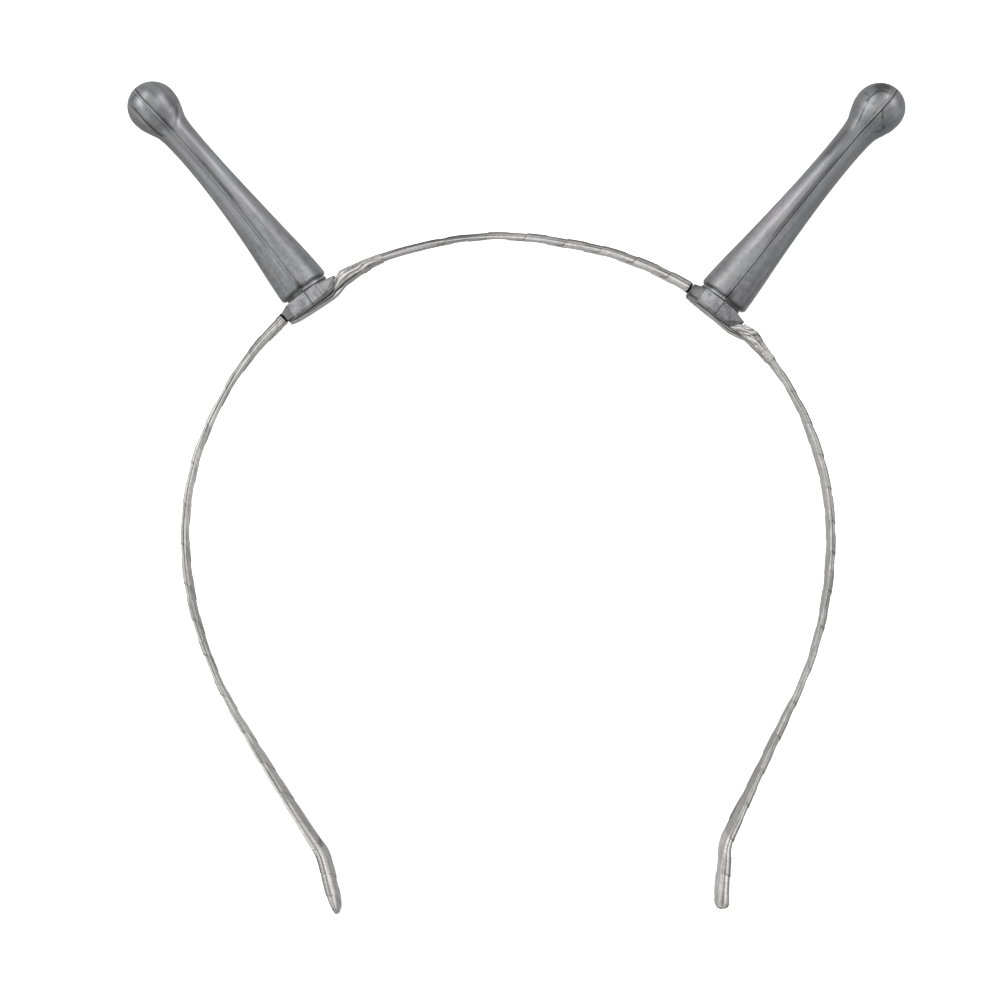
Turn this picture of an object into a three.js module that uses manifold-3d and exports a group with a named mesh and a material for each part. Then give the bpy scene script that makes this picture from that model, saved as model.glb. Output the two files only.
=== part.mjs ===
import * as THREE from "three";
import Module from "manifold-3d";
import { ConvexGeometry } from "three/addons/geometries/ConvexGeometry.js";
import { mergeVertices } from "three/addons/utils/BufferGeometryUtils.js";

const wasm = await Module();
wasm.setup();

// Headband plane, in mm: x across the head, y up through the crown, z towards the front.
// The band's centreline is a chain of tangent arcs from the left tip over the crown to the right tip.
const BAND_START = { x: -32.8, y: -82.2, heading: 103.4 };
const BAND_ARCS = [
  { stretch: "left tip", length: 10.2, turn: 0 },
  { stretch: "left kink", length: 3.6, turn: 19.3 },
  { stretch: "left leg", length: 30.4, turn: -1.7 },
  { stretch: "left side", length: 19.6, turn: -14.7 },
  { stretch: "left shoulder", length: 97.2, turn: -92.0 },
  { stretch: "crown", length: 57.7, turn: -45.5 },
  { stretch: "right shoulder", length: 55.1, turn: -54.9 },
  { stretch: "right side", length: 39.1, turn: -30.5 },
  { stretch: "right leg", length: 28.9, turn: 1.3 },
  { stretch: "right kink", length: 3.3, turn: 22.3 },
  { stretch: "right tip", length: 11.5, turn: 0 },
];

// Steel strip inside the winding.
const STRIP_WIDTH = 4.6;
const STRIP_THICKNESS = 0.5;
const STRIP_END_INSET = 0.6;
const STRIP_STEP = 3.9;

// Ribbon winding: each turn laps over the one before it.
const RIBBON_WIDTH_OVER_BAND = 5.6;
const RIBBON_BORE_GAP = 0.1;
const LAP_PITCH = 7.8;
const LAP_STEP = 0.16;
const LAP_CELLS = 8;
const FACE_CROWN = 0.05;
const EDGE_CROWN = 0.2;
const TIP_OVERHANG = [
  { past: 0.5, scale: 0.55 },
  { past: 0.35, scale: 0.84 },
  { past: 0.08, scale: 0.98 },
];

// Thickness over the winding and its twist, at distances along the band from the left tip.
const WINDING_SECTIONS = [
  { at: 0, thick: 1.6, twist: 3 },
  { at: 4, thick: 1.9, twist: 3.5 },
  { at: 12, thick: 1.75, twist: 4.5 },
  { at: 18, thick: 1.35, twist: 5.3 },
  { at: 20, thick: 1.3, twist: 5.5 },
  { at: 33, thick: 1.2, twist: 3 },
  { at: 41, thick: 1.2, twist: -1.5 },
  { at: 57, thick: 1.2, twist: -4 },
  { at: 73, thick: 1.2, twist: 0 },
  { at: 89, thick: 1.2, twist: -1 },
  { at: 98, thick: 1.3, twist: -2.5 },
  { at: 112, thick: 1.3, twist: -5 },
  { at: 122, thick: 1.4, twist: -1 },
  { at: 130, thick: 1.65, twist: 1 },
  { at: 143, thick: 1.7, twist: 0 },
  { at: 146, thick: 1.9, twist: 0.5 },
  { at: 150, thick: 1.6, twist: 1 },
  { at: 154, thick: 1.25, twist: -2 },
  { at: 166, thick: 1.25, twist: -3.2 },
  { at: 178, thick: 1.4, twist: -4.5 },
  { at: 200, thick: 1.45, twist: 0 },
  { at: 212, thick: 1.6, twist: 0.7 },
  { at: 218, thick: 1.7, twist: 1 },
  { at: 230, thick: 1.9, twist: 0 },
  { at: 233.5, thick: 2.2, twist: -0.3 },
  { at: 238, thick: 1.6, twist: -0.8 },
  { at: 239.6, thick: 1.55, twist: -1 },
  { at: 240.4, thick: 1.3, twist: -2 },
  { at: 247, thick: 1.3, twist: -5 },
  { at: 258, thick: 1.3, twist: 0 },
  { at: 286, thick: 1.25, twist: 0 },
  { at: 298, thick: 1.3, twist: -4.5 },
  { at: 309, thick: 1.2, twist: -7 },
  { at: 318, thick: 1.2, twist: -1 },
  { at: 330, thick: 1.25, twist: 1.5 },
  { at: 338, thick: 1.5, twist: 6 },
  { at: 345, thick: 1.75, twist: 4 },
  { at: 357, thick: 2.0, twist: 2 },
];

// Antenna moulding, z along its axis from the stem's rim, x along the band towards the toe of the foot.
const NECK_RADIUS = 4.55;
const NECK_HEIGHT = 1.1;
const SHELL_WALL = 1.0;
const FLOOR_WALL = 0.7;
const BALL_CENTRE = 48.2;
const BALL_RADIUS = 5.18;
const BALL_RINGS = 5;
const LATHE_SEGMENTS = 20;
const PARTING_GAP = 0.3;
const STEM_PROFILE = [
  { height: 0, radius: 4.95 },
  { height: 0.45, radius: 5.22 },
  { height: 2, radius: 5.15 },
  { height: 7, radius: 4.78 },
  { height: 12, radius: 4.31 },
  { height: 18, radius: 3.83 },
  { height: 24, radius: 3.45 },
  { height: 30, radius: 3.18 },
  { height: 35.5, radius: 3.09 },
  { height: 40.5, radius: 3.22 },
  { height: 42.5, radius: 3.47 },
  { height: 44.5, radius: 4.28 },
  { height: 46.5, radius: 4.97 },
];

// Foot corners from the slot end to the toe; the toe's end leans in under the foot.
const FOOT_SOLE_BEVEL = { rise: 0.4, inset: 0.3 };
const FOOT_CORNERS = [
  { alongTop: -6.1, alongSole: -6.0, half: 3.6, top: -1.75, sole: -4.15 },
  { alongTop: -4.4, alongSole: -4.4, half: 4.6, top: -1.1, sole: -4.3 },
  { alongTop: 0, alongSole: 0, half: 5.0, top: -1.1, sole: -4.3 },
  { alongTop: 2.6, alongSole: 2.6, half: 4.7, top: -1.1, sole: -4.3 },
  { alongTop: 6.1, alongSole: 4.6, half: 3.4, top: -1.8, sole: -4.05 },
];
const TUNNEL_CLEARANCE = 0.16;
const TUNNEL_REACH = 12;

// Where each antenna stands, how high its rim is over the band, how far it is turned on its own axis
// and how far its stem bends outward.
const ANTENNAS = [
  { side: "left", station: 138.05, seat: 2.0, turn: -5, bend: -6.9 },
  { side: "right", station: 224.72, seat: 2.2, turn: 7, bend: 4.2 },
];
const SLOT_GAP = 0.6;
const TOE_GAP = 0.3;

// Loose ribbon that passes under a foot, from the slot end to the bunch past the toe.
const LOOSE_HALF_WIDTH = 2.5;
const LOOSE_ROWS = [
  { along: -6.85, from: "band", level: -1.28, thick: 0.36 },
  { along: -6.2, from: "rim", level: -4.42, thick: 0.36 },
  { along: -4.4, from: "rim", level: -4.7, thick: 0.36 },
  { along: 0, from: "rim", level: -4.8, thick: 0.36 },
  { along: 4.3, from: "rim", level: -4.7, thick: 0.4 },
  { along: 6.0, from: "rim", level: -4.3, thick: 0.9 },
  { along: 8.0, from: "band", level: -1.2, thick: 0.8 },
  { along: 10.4, from: "band", level: -0.85, thick: 0.4 },
];

const RIBBON_MATERIAL = { color: 0xb9b7b4, roughness: 0.45, metalness: 0.1 };
const STRIP_MATERIAL = { color: 0x2e2e30, roughness: 0.4, metalness: 0.8 };
const SHELL_MATERIAL = { color: 0x8e8e92, roughness: 0.35, metalness: 0.45 };

const BAND_LENGTH = BAND_ARCS.reduce((sum, arc) => sum + arc.length, 0);

function bandFrame(station) {
  let { x, y } = BAND_START;
  let angle = THREE.MathUtils.degToRad(BAND_START.heading);
  let left = station;
  for (const [index, arc] of BAND_ARCS.entries()) {
    const last = index === BAND_ARCS.length - 1;
    const run = last ? left : Math.min(left, arc.length);
    const turn = THREE.MathUtils.degToRad(arc.turn) * (run / arc.length);
    const chord = turn === 0 ? run : (run * Math.sin(turn / 2)) / (turn / 2);
    x += chord * Math.cos(angle + turn / 2);
    y += chord * Math.sin(angle + turn / 2);
    angle += turn;
    left -= run;
    if (left <= 0) break;
  }
  return {
    point: new THREE.Vector3(x, y, 0),
    along: new THREE.Vector3(Math.cos(angle), Math.sin(angle), 0),
    outward: new THREE.Vector3(-Math.sin(angle), Math.cos(angle), 0),
  };
}

function windingAt(station) {
  const rows = WINDING_SECTIONS;
  const next = rows.findIndex((row) => row.at >= station);
  if (next <= 0) {
    const end = next === 0 ? rows[0] : rows[rows.length - 1];
    return { thick: end.thick, twist: THREE.MathUtils.degToRad(end.twist) };
  }
  const a = rows[next - 1];
  const b = rows[next];
  const share = (station - a.at) / (b.at - a.at);
  return {
    thick: THREE.MathUtils.lerp(a.thick, b.thick, share),
    twist: THREE.MathUtils.degToRad(THREE.MathUtils.lerp(a.twist, b.twist, share)),
  };
}

// A section point given as distance outward and across, on the twisted band.
function sectionPoint(station, outward, across) {
  const frame = bandFrame(station);
  const { twist } = windingAt(station);
  const out = outward * Math.cos(twist) + across * Math.sin(twist);
  const side = across * Math.cos(twist) - outward * Math.sin(twist);
  const point = frame.point.clone().addScaledVector(frame.outward, out);
  point.z += side;
  return point;
}

// Closed loft through rings of equal count, with a fan over each end.
function loft(rings) {
  const count = rings[0].length;
  const points = rings.flat();
  const faces = [];
  for (let ring = 0; ring + 1 < rings.length; ring += 1) {
    for (let i = 0; i < count; i += 1) {
      const j = (i + 1) % count;
      const a = ring * count + i;
      const b = ring * count + j;
      faces.push(a, b, b + count);
      faces.push(a, b + count, a + count);
    }
  }
  for (const end of [0, rings.length - 1]) {
    const centre = new THREE.Vector3();
    rings[end].forEach((point) => centre.addScaledVector(point, 1 / count));
    const hub = points.length;
    points.push(centre);
    for (let i = 0; i < count; i += 1) {
      const a = end * count + i;
      const b = end * count + ((i + 1) % count);
      if (end === 0) faces.push(hub, b, a);
      else faces.push(hub, a, b);
    }
  }
  const geometry = new THREE.BufferGeometry().setFromPoints(points);
  geometry.setIndex(faces);
  return geometry;
}

function solid(source) {
  const geometry = source.clone();
  geometry.deleteAttribute("normal");
  geometry.deleteAttribute("uv");
  const merged = mergeVertices(geometry, 1e-4);
  const index = merged.index.array;
  const faces = [];
  for (let i = 0; i < index.length; i += 3) {
    const [a, b, c] = [index[i], index[i + 1], index[i + 2]];
    if (a !== b && b !== c && c !== a) faces.push(a, b, c);
  }
  const mesh = new wasm.Mesh({
    numProp: 3,
    vertProperties: new Float32Array(merged.attributes.position.array),
    triVerts: new Uint32Array(faces),
  });
  return new wasm.Manifold(mesh);
}

function geometryOf(body) {
  const mesh = body.getMesh();
  const geometry = new THREE.BufferGeometry();
  geometry.setAttribute("position", new THREE.BufferAttribute(mesh.vertProperties, 3));
  geometry.setIndex(new THREE.BufferAttribute(mesh.triVerts, 1));
  return geometry;
}

function stationsBetween(from, to, step) {
  const cells = Math.max(1, Math.round((to - from) / step));
  return Array.from({ length: cells + 1 }, (_, i) => from + ((to - from) * i) / cells);
}

// Plain flat bar along the band, for the strip, the winding's bore and the tunnels.
function flatBar(stations, halfThick, halfWidth) {
  const corners = [
    { out: halfThick, side: -halfWidth },
    { out: halfThick, side: halfWidth },
    { out: -halfThick, side: halfWidth },
    { out: -halfThick, side: -halfWidth },
  ];
  return loft(stations.map((at) => corners.map(({ out, side }) => sectionPoint(at, out, side))));
}

// One ring of the winding; the lap's edge moves one point round for each cell along.
function windingRing(station, cell, scale) {
  const { thick } = windingAt(station);
  const out = (thick / 2 - LAP_STEP / 2) * scale;
  const side = (RIBBON_WIDTH_OVER_BAND / 2 - LAP_STEP / 2) * scale;
  const outline = [
    { out: 0, side },
    { out, side: side - EDGE_CROWN },
    { out: out + FACE_CROWN, side: 0 },
    { out, side: -side + EDGE_CROWN },
    { out: 0, side: -side },
    { out: -out, side: -side + EDGE_CROWN },
    { out: -out - FACE_CROWN, side: 0 },
    { out: -out, side: side - EDGE_CROWN },
  ];
  const ring = outline.map((corner, i) => {
    const phase = (cell + i) % LAP_CELLS;
    const lap = LAP_STEP * (1 - phase / (LAP_CELLS - 1));
    const outward = corner.out + Math.sign(corner.out) * lap;
    const across = corner.side + Math.sign(corner.side) * lap;
    return sectionPoint(station, outward, across);
  });
  return ring.reverse();
}

function winding(from, to, tipAtStart, tipAtEnd) {
  const stations = stationsBetween(from, to, LAP_PITCH / LAP_CELLS);
  const rings = stations.map((at, cell) => windingRing(at, cell, 1));
  if (tipAtStart) {
    const caps = TIP_OVERHANG.map(({ past, scale }) => windingRing(from - past, 0, scale));
    rings.unshift(...caps);
  }
  if (tipAtEnd) {
    const cells = stations.length - 1;
    const caps = TIP_OVERHANG.map(({ past, scale }) => windingRing(to + past, cells, scale));
    rings.push(...caps.reverse());
  }
  const boreFrom = tipAtStart ? STRIP_END_INSET - RIBBON_BORE_GAP : from - STRIP_STEP;
  const boreTo = tipAtEnd ? BAND_LENGTH - STRIP_END_INSET + RIBBON_BORE_GAP : to + STRIP_STEP;
  const inner = stationsBetween(STRIP_END_INSET, BAND_LENGTH - STRIP_END_INSET, STRIP_STEP);
  const bore = [boreFrom, ...inner.filter((at) => at > boreFrom && at < boreTo), boreTo];
  const halfThick = STRIP_THICKNESS / 2 + RIBBON_BORE_GAP;
  const halfWidth = STRIP_WIDTH / 2 + RIBBON_BORE_GAP;
  return solid(loft(rings)).subtract(solid(flatBar(bore, halfThick, halfWidth)));
}

function lathe(profile) {
  const points = profile.map(({ radius, height }) => new THREE.Vector2(radius, height));
  return new THREE.LatheGeometry(points, LATHE_SEGMENTS).rotateX(Math.PI / 2);
}

function ballProfile(radius, from) {
  return Array.from({ length: BALL_RINGS + 1 }, (_, i) => {
    const angle = from + ((Math.PI / 2 - from) * i) / BALL_RINGS;
    const atTop = i === BALL_RINGS;
    return {
      height: BALL_CENTRE + radius * Math.sin(angle),
      radius: atTop ? 0 : radius * Math.cos(angle),
    };
  });
}

function footGeometry() {
  const { rise, inset } = FOOT_SOLE_BEVEL;
  const points = FOOT_CORNERS.flatMap(({ alongTop, alongSole, half, top, sole }) => {
    const inward = alongSole - Math.sign(alongSole) * inset;
    return [1, -1].flatMap((side) => [
      new THREE.Vector3(alongTop, side * half, top),
      new THREE.Vector3(alongSole, side * half, sole + rise),
      new THREE.Vector3(inward, side * (half - inset), sole),
    ]);
  });
  return new ConvexGeometry(points);
}

// The two halves of the straight moulding, before it is bent and set on the band.
function antennaHalves() {
  const neckFoot = -NECK_HEIGHT - 0.3;
  const outside = [
    { radius: 0, height: neckFoot },
    { radius: NECK_RADIUS, height: neckFoot },
    { radius: NECK_RADIUS, height: 0 },
    ...STEM_PROFILE,
    ...ballProfile(BALL_RADIUS, 0),
  ];
  const inside = [
    { radius: 0, height: FLOOR_WALL },
    { radius: STEM_PROFILE[1].radius - SHELL_WALL, height: FLOOR_WALL },
    ...STEM_PROFILE.slice(2).map(({ height, radius }) => ({ height, radius: radius - SHELL_WALL })),
    ...ballProfile(BALL_RADIUS - SHELL_WALL, 0),
  ];
  const body = solid(lathe(outside)).add(solid(footGeometry())).subtract(solid(lathe(inside)));
  const reach = 4 * BALL_CENTRE;
  const block = new THREE.BoxGeometry(reach, reach, reach);
  const slotSide = block.clone().translate(-(reach + PARTING_GAP) / 2, 0, 0);
  const toeSide = block.clone().translate((reach + PARTING_GAP) / 2, 0, 0);
  return {
    slot: geometryOf(body.intersect(solid(slotSide))),
    toe: geometryOf(body.intersect(solid(toeSide))),
  };
}

function antennaPlace({ station, seat }) {
  const frame = bandFrame(station);
  const back = new THREE.Vector3(0, 0, -1);
  const origin = frame.point.clone().addScaledVector(frame.outward, seat);
  return new THREE.Matrix4().makeBasis(frame.along, back, frame.outward).setPosition(origin);
}

// Bends everything above the rim round a circle, so that the sections stay round.
function bendStem(source, bend) {
  const geometry = source.clone();
  const position = geometry.attributes.position;
  const reach = BALL_CENTRE / THREE.MathUtils.degToRad(bend);
  for (let i = 0; i < position.count; i += 1) {
    const height = position.getZ(i);
    if (height > 0) {
      const arm = reach - position.getX(i);
      position.setX(i, reach - arm * Math.cos(height / reach));
      position.setZ(i, arm * Math.sin(height / reach));
    }
  }
  return geometry;
}

function tunnel(antenna) {
  const strip = stationsBetween(STRIP_END_INSET, BAND_LENGTH - STRIP_END_INSET, STRIP_STEP);
  const stations = strip.filter((at) => Math.abs(at - antenna.station) < TUNNEL_REACH);
  const halfThick = STRIP_THICKNESS / 2 + TUNNEL_CLEARANCE;
  const halfWidth = STRIP_WIDTH / 2 + TUNNEL_CLEARANCE;
  return solid(flatBar(stations, halfThick, halfWidth));
}

function looseRibbon(antenna) {
  const place = antennaPlace(antenna);
  const toMoulding = place.clone().invert();
  const rows = LOOSE_ROWS.map((row) => {
    const band = bandFrame(antenna.station + row.along).point.applyMatrix4(toMoulding);
    return { ...row, height: row.level + (row.from === "band" ? band.z : 0) };
  });
  const rings = rows.map((row, i) => {
    const before = rows[Math.max(0, i - 1)];
    const after = rows[Math.min(rows.length - 1, i + 1)];
    const slope = Math.atan2(after.height - before.height, after.along - before.along);
    return [
      { up: 1, side: 1 },
      { up: 1, side: -1 },
      { up: -1, side: -1 },
      { up: -1, side: 1 },
    ].map(({ up, side }) => {
      const lift = (up * row.thick) / 2;
      const along = row.along - lift * Math.sin(slope);
      const height = row.height + lift * Math.cos(slope);
      return new THREE.Vector3(along, side * LOOSE_HALF_WIDTH, height).applyMatrix4(place);
    });
  });
  return solid(loft(rings));
}

function node(name, geometry, material) {
  const mesh = new THREE.Mesh(geometry, new THREE.MeshStandardMaterial(material));
  mesh.name = name;
  return mesh;
}

const [leftAntenna, rightAntenna] = ANTENNAS;
const slotReach = -FOOT_CORNERS[0].alongTop + SLOT_GAP;
const toeReach = FOOT_CORNERS[FOOT_CORNERS.length - 1].alongTop + TOE_GAP;

const headband = new THREE.Group();
headband.name = "headband";

const stripStations = stationsBetween(STRIP_END_INSET, BAND_LENGTH - STRIP_END_INSET, STRIP_STEP);
const strip = flatBar(stripStations, STRIP_THICKNESS / 2, STRIP_WIDTH / 2);
headband.add(node("band_strip", geometryOf(solid(strip)), STRIP_MATERIAL));

const leftLeg = winding(0, leftAntenna.station - slotReach, true, false);
const overCrown = winding(leftAntenna.station + toeReach, rightAntenna.station - slotReach, false, false);
const rightLeg = winding(rightAntenna.station + toeReach, BAND_LENGTH, false, true);
const crown = overCrown.add(looseRibbon(leftAntenna));
const right = rightLeg.add(looseRibbon(rightAntenna));
headband.add(node("ribbon_left_leg", geometryOf(leftLeg), RIBBON_MATERIAL));
headband.add(node("ribbon_crown", geometryOf(crown), RIBBON_MATERIAL));
headband.add(node("ribbon_right_leg", geometryOf(right), RIBBON_MATERIAL));

const halves = antennaHalves();
for (const antenna of ANTENNAS) {
  const place = antennaPlace(antenna);
  for (const [half, shape] of Object.entries(halves)) {
    const turned = shape.clone().rotateZ(THREE.MathUtils.degToRad(antenna.turn));
    const bent = bendStem(turned, antenna.bend).applyMatrix4(place);
    const cut = solid(bent).subtract(tunnel(antenna));
    headband.add(node(`${antenna.side}_antenna_${half}_half`, geometryOf(cut), SHELL_MATERIAL));
  }
}

// It lies on its side, on the rims of both stems and the ends of both legs.
const rim = STEM_PROFILE[1];
const rimHeights = ANTENNAS.map((antenna) => {
  const centre = new THREE.Vector3(0, 0, rim.height);
  return centre.applyMatrix4(antennaPlace(antenna)).y;
});
const tipHeights = [bandFrame(0).point.y, bandFrame(BAND_LENGTH).point.y];
const rise = rim.radius - RIBBON_WIDTH_OVER_BAND / 2;
const span = (rimHeights[0] + rimHeights[1] - tipHeights[0] - tipHeights[1]) / 2;
headband.rotation.x = Math.asin(rise / span);

const part = new THREE.Group();
part.name = "antenna_headband";
part.add(headband);
part.updateMatrixWorld(true);
const bounds = new THREE.Box3().setFromObject(headband, true);
const middle = bounds.getCenter(new THREE.Vector3());
headband.position.set(-middle.x, -middle.y, -bounds.min.z);

export default part;
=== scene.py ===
import math

import bmesh
import bpy
import numpy as np
from mathutils import Matrix, Vector


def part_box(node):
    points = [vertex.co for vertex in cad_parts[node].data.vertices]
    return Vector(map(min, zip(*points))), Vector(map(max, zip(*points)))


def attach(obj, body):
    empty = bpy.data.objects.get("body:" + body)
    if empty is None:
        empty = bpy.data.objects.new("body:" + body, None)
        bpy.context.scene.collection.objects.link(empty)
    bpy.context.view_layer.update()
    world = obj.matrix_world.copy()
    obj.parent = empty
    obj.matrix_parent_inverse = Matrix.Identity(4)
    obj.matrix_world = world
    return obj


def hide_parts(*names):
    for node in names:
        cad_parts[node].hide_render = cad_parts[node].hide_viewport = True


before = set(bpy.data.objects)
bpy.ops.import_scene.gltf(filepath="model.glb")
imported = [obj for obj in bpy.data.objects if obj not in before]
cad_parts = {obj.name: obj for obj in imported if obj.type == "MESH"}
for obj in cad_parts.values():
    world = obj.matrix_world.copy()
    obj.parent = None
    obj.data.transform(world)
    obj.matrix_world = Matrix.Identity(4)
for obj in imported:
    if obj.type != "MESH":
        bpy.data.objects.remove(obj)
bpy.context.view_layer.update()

MM = 0.001
TINY = 1e-6


def table(columns, rows):
    """Rows of numbers as one array for each named column."""
    return {name: np.array(column, float) for name, column in zip(columns, zip(*rows))}


def value_at(rows, name, station):
    """A column of a table at stations along the band."""
    return np.interp(station, rows["at"], rows[name])


# Band centreline in the headband's own plane, in mm, as in the part's source: each stretch's length and its
# turn in degrees.
BAND_START = {"x": -32.8, "y": -82.2, "heading": 103.4}
BAND_ARCS = {
    "left tip": (10.2, 0),
    "left kink": (3.6, 19.3),
    "left leg": (30.4, -1.7),
    "left side": (19.6, -14.7),
    "left shoulder": (97.2, -92.0),
    "crown": (57.7, -45.5),
    "right shoulder": (55.1, -54.9),
    "right side": (39.1, -30.5),
    "right leg": (28.9, 1.3),
    "right kink": (3.3, 22.3),
    "right tip": (11.5, 0),
}
ARC_LENGTHS, ARC_TURNS = np.array([*BAND_ARCS.values()]).T * [[1], [math.radians(1)]]
ARC_STARTS = np.cumsum(ARC_LENGTHS) - ARC_LENGTHS
ARC_HEADINGS = math.radians(BAND_START["heading"]) + np.cumsum(ARC_TURNS) - ARC_TURNS
BAND_LENGTH = sum(ARC_LENGTHS)

STRIP_WIDTH = 4.6
STRIP_THICKNESS = 0.5
STRIP_END_INSET = 0.6
STRIP_STEP = 3.9

# Thickness over the winding and its twist, at distances along the band from the left tip.
WINDING = table(("at", "thick", "twist"), [
    (0, 1.6, 3), (4, 1.9, 3.5), (12, 1.75, 4.5), (18, 1.35, 5.3), (20, 1.3, 5.5), (33, 1.2, 3),
    (41, 1.2, -1.5), (57, 1.2, -4), (73, 1.2, 0), (89, 1.2, -1), (98, 1.3, -2.5), (112, 1.3, -5),
    (122, 1.4, -1), (130, 1.65, 1), (143, 1.7, 0), (146, 1.9, 0.5), (150, 1.6, 1), (154, 1.25, -2),
    (166, 1.25, -3.2), (178, 1.4, -4.5), (200, 1.45, 0), (212, 1.6, 0.7), (218, 1.7, 1), (230, 1.9, 0),
    (233.5, 2.2, -0.3), (238, 1.6, -0.8), (239.6, 1.55, -1), (240.4, 1.3, -2), (247, 1.3, -5),
    (258, 1.3, 0), (286, 1.25, 0), (298, 1.3, -4.5), (309, 1.2, -7), (318, 1.2, -1), (330, 1.25, 1.5),
    (338, 1.5, 6), (345, 1.75, 4), (357, 2.0, 2),
])
RIBBON_HALF_WIDTH = 2.8
PLAIN_THICKNESS = 1.2

# The ribbon itself: 10 mm wide, and where each turn's edge crosses the front of the band with how dark the painted
# shadow along that edge is.
CLOTH = 0.12
RIBBON_AXIAL_WIDTH = 11.8
LAP_PITCH = 7.8
LAPS = {
    "left": [
        (3.6, 0.5), (8.2, 0.1), (13.3, 0.6), (20, 0.15), (27, 0.15), (33.8, 0.4), (40.6, 0.5), (49, 0.8), (57.7, 1),
        (65, 0.8), (72.3, 0.8), (80.3, 0.9), (88.3, 0.5), (96.6, 0.9), (104.8, 0.6), (113, 0.5), (121.4, 0.7),
        (129.6, 0.4),
    ],
    "crown": [
        (149.8, 0.3), (154, 0.3), (159.3, 0.5), (167.6, 0.5), (175.7, 0.6), (183.5, 0.8), (191.6, 0.9), (198.9, 0.6),
        (205.9, 0.9), (213.4, 0.9),
    ],
    "right": [
        (247.5, 0.2), (254.5, 0.2), (261.4, 0.6), (268.2, 0.8), (274.9, 0.4), (281, 0.9), (288.7, 1), (296, 0.8),
        (304.4, 0.4), (312, 0.9), (319.5, 1), (327, 0.7), (334.4, 0.8), (342, 0.9), (349.3, 0.7),
    ],
}

# The side of the front edge on which the laps show: 1 is the outer one.
LAP_SIDE = {"left": 1, "crown": -1, "right": 1}

# Antenna moulding, z along its axis from the stem's rim, x along the band towards the toe of the foot. The
# photograph shows the left one a little shorter and the right one longer than the moulding: grow is that
# difference at the ball, and lean is how far the stem slants before it bends. The ends are where the foot's
# front ends, from slot to toe, wound_to is where the winding stops short of the slot, and the last number is the
# painted shade on the facet there.
ANTENNAS = [
    {
        "side": "left", "station": 138.05, "seat": 2.0, "turn": -5, "lean": -0.9, "bend": -5.8, "grow": -0.9,
        "ends": (-6.5, 6.42), "wound_to": -6.95, "slot_painted_shade": -0.4,
    },
    {
        "side": "right", "station": 224.72, "seat": 2.2, "turn": 7, "lean": 1.6, "bend": 1.55, "grow": 0.9,
        "ends": (-6.25, 6.38), "wound_to": -6.7, "slot_painted_shade": -0.85,
    },
]
NECK_RADIUS = 4.3
NECK_HEIGHT = 1.1
BALL_CENTRE = 48.2
BALL_RADIUS = 5.11
SEAM_GAP = 0.06
STEM_PROFILE = [
    (0.45, 5.22), (2, 5.15), (7, 4.78), (12, 4.31), (18, 3.83), (24, 3.45), (30, 3.18),
    (35.5, 3.09), (40.5, 3.22), (42.5, 3.47), (44.5, 4.25), (46.5, 4.92),
]
FOOT_SOLE_BEVEL = {"rise": 0.4, "inset": 0.3}

# Corners of the foot: along the band at the top and at the sole, half width, height of the top and of the sole.
FOOT_CORNERS = [
    (-6.1, -6.0, 3.6, -1.75, -4.15),
    (-4.4, -4.4, 4.6, -1.1, -4.3),
    (0, 0, 5.0, -1.1, -4.3),
    (2.6, 2.6, 4.7, -1.1, -4.3),
    (6.1, 4.6, 3.4, -1.8, -4.05),
]
TOE_LEAN = 1.5
TOE_HEIGHT = 2.25
FOOT_EDGE_ROUND = 0.18
TUNNEL_CLEARANCE = 0.16
TUNNEL_REACH = 12
TOE_GAP = 0.3

# Loose ribbon under a foot: where its front and back edges lie, and rows from the slot end to the gather past the
# toe, of the distance along, what the height is taken from, the height and the thickness.
LOOSE_EDGES = {"left": (-2.5, 1.6), "right": (-2.5, 0.4)}
LOOSE_ROWS = {
    "left": [
        (-6.3, "rim", -4.2, 0.16), (-4.4, "rim", -4.52, 0.3), (0, "rim", -4.74, 0.5), (3.4, "rim", -4.78, 0.7),
        (5.2, "rim", -4.5, 1.0), (7.4, "band", -1.5, 1.0), (10, "band", -1.25, 0.7), (12.6, "band", -0.9, 0.36),
    ],
    "right": [
        (-3.4, "rim", -4.38, 0.11), (-1.5, "rim", -4.46, 0.16), (0, "rim", -4.55, 0.24), (2.4, "rim", -4.68, 0.4),
        (5.0, "rim", -4.76, 0.6), (6.6, "band", -1.95, 0.6), (8.4, "band", -1.4, 0.3),
    ],
}


def along_arc(length, turn, heading):
    """How far an arc that sets out at a heading goes in x and y."""
    chord = length * np.sinc(turn / 2 / np.pi)
    return chord * np.cos(heading + turn / 2), chord * np.sin(heading + turn / 2)


ARC_X, ARC_Y = (
    BAND_START[axis] + np.cumsum(way) - way
    for axis, way in zip("xy", along_arc(ARC_LENGTHS, ARC_TURNS, ARC_HEADINGS))
)


def band(station):
    """Point and heading on the centreline for an array of stations."""
    station = np.asarray(station, float)
    index = np.clip(np.searchsorted(ARC_STARTS, station, side="right") - 1, 0, len(ARC_STARTS) - 1)
    run = station - ARC_STARTS[index]
    turn = ARC_TURNS[index] / ARC_LENGTHS[index] * run
    x, y = along_arc(run, turn, ARC_HEADINGS[index])
    return ARC_X[index] + x, ARC_Y[index] + y, ARC_HEADINGS[index] + turn


def on_band(station, out, side):
    """Points at distances outward and sideways on the twisted band, as an array of rows."""
    x, y, heading = band(station)
    twist = np.radians(value_at(WINDING, "twist", station))
    away = out * np.cos(twist) + side * np.sin(twist)
    z = side * np.cos(twist) - out * np.sin(twist)
    return np.stack([x - away * np.sin(heading), y + away * np.cos(heading), z], axis=-1)


def stations_between(start, end, step):
    """Stations from start to end, about a step apart."""
    cells = max(1, round((end - start) / step))
    return np.linspace(start, end, cells + 1)


STRIP_CORNERS = [(1, -1), (1, 1), (-1, 1), (-1, -1)]
STRIP_AT = stations_between(STRIP_END_INSET, BAND_LENGTH - STRIP_END_INSET, STRIP_STEP)


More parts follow.
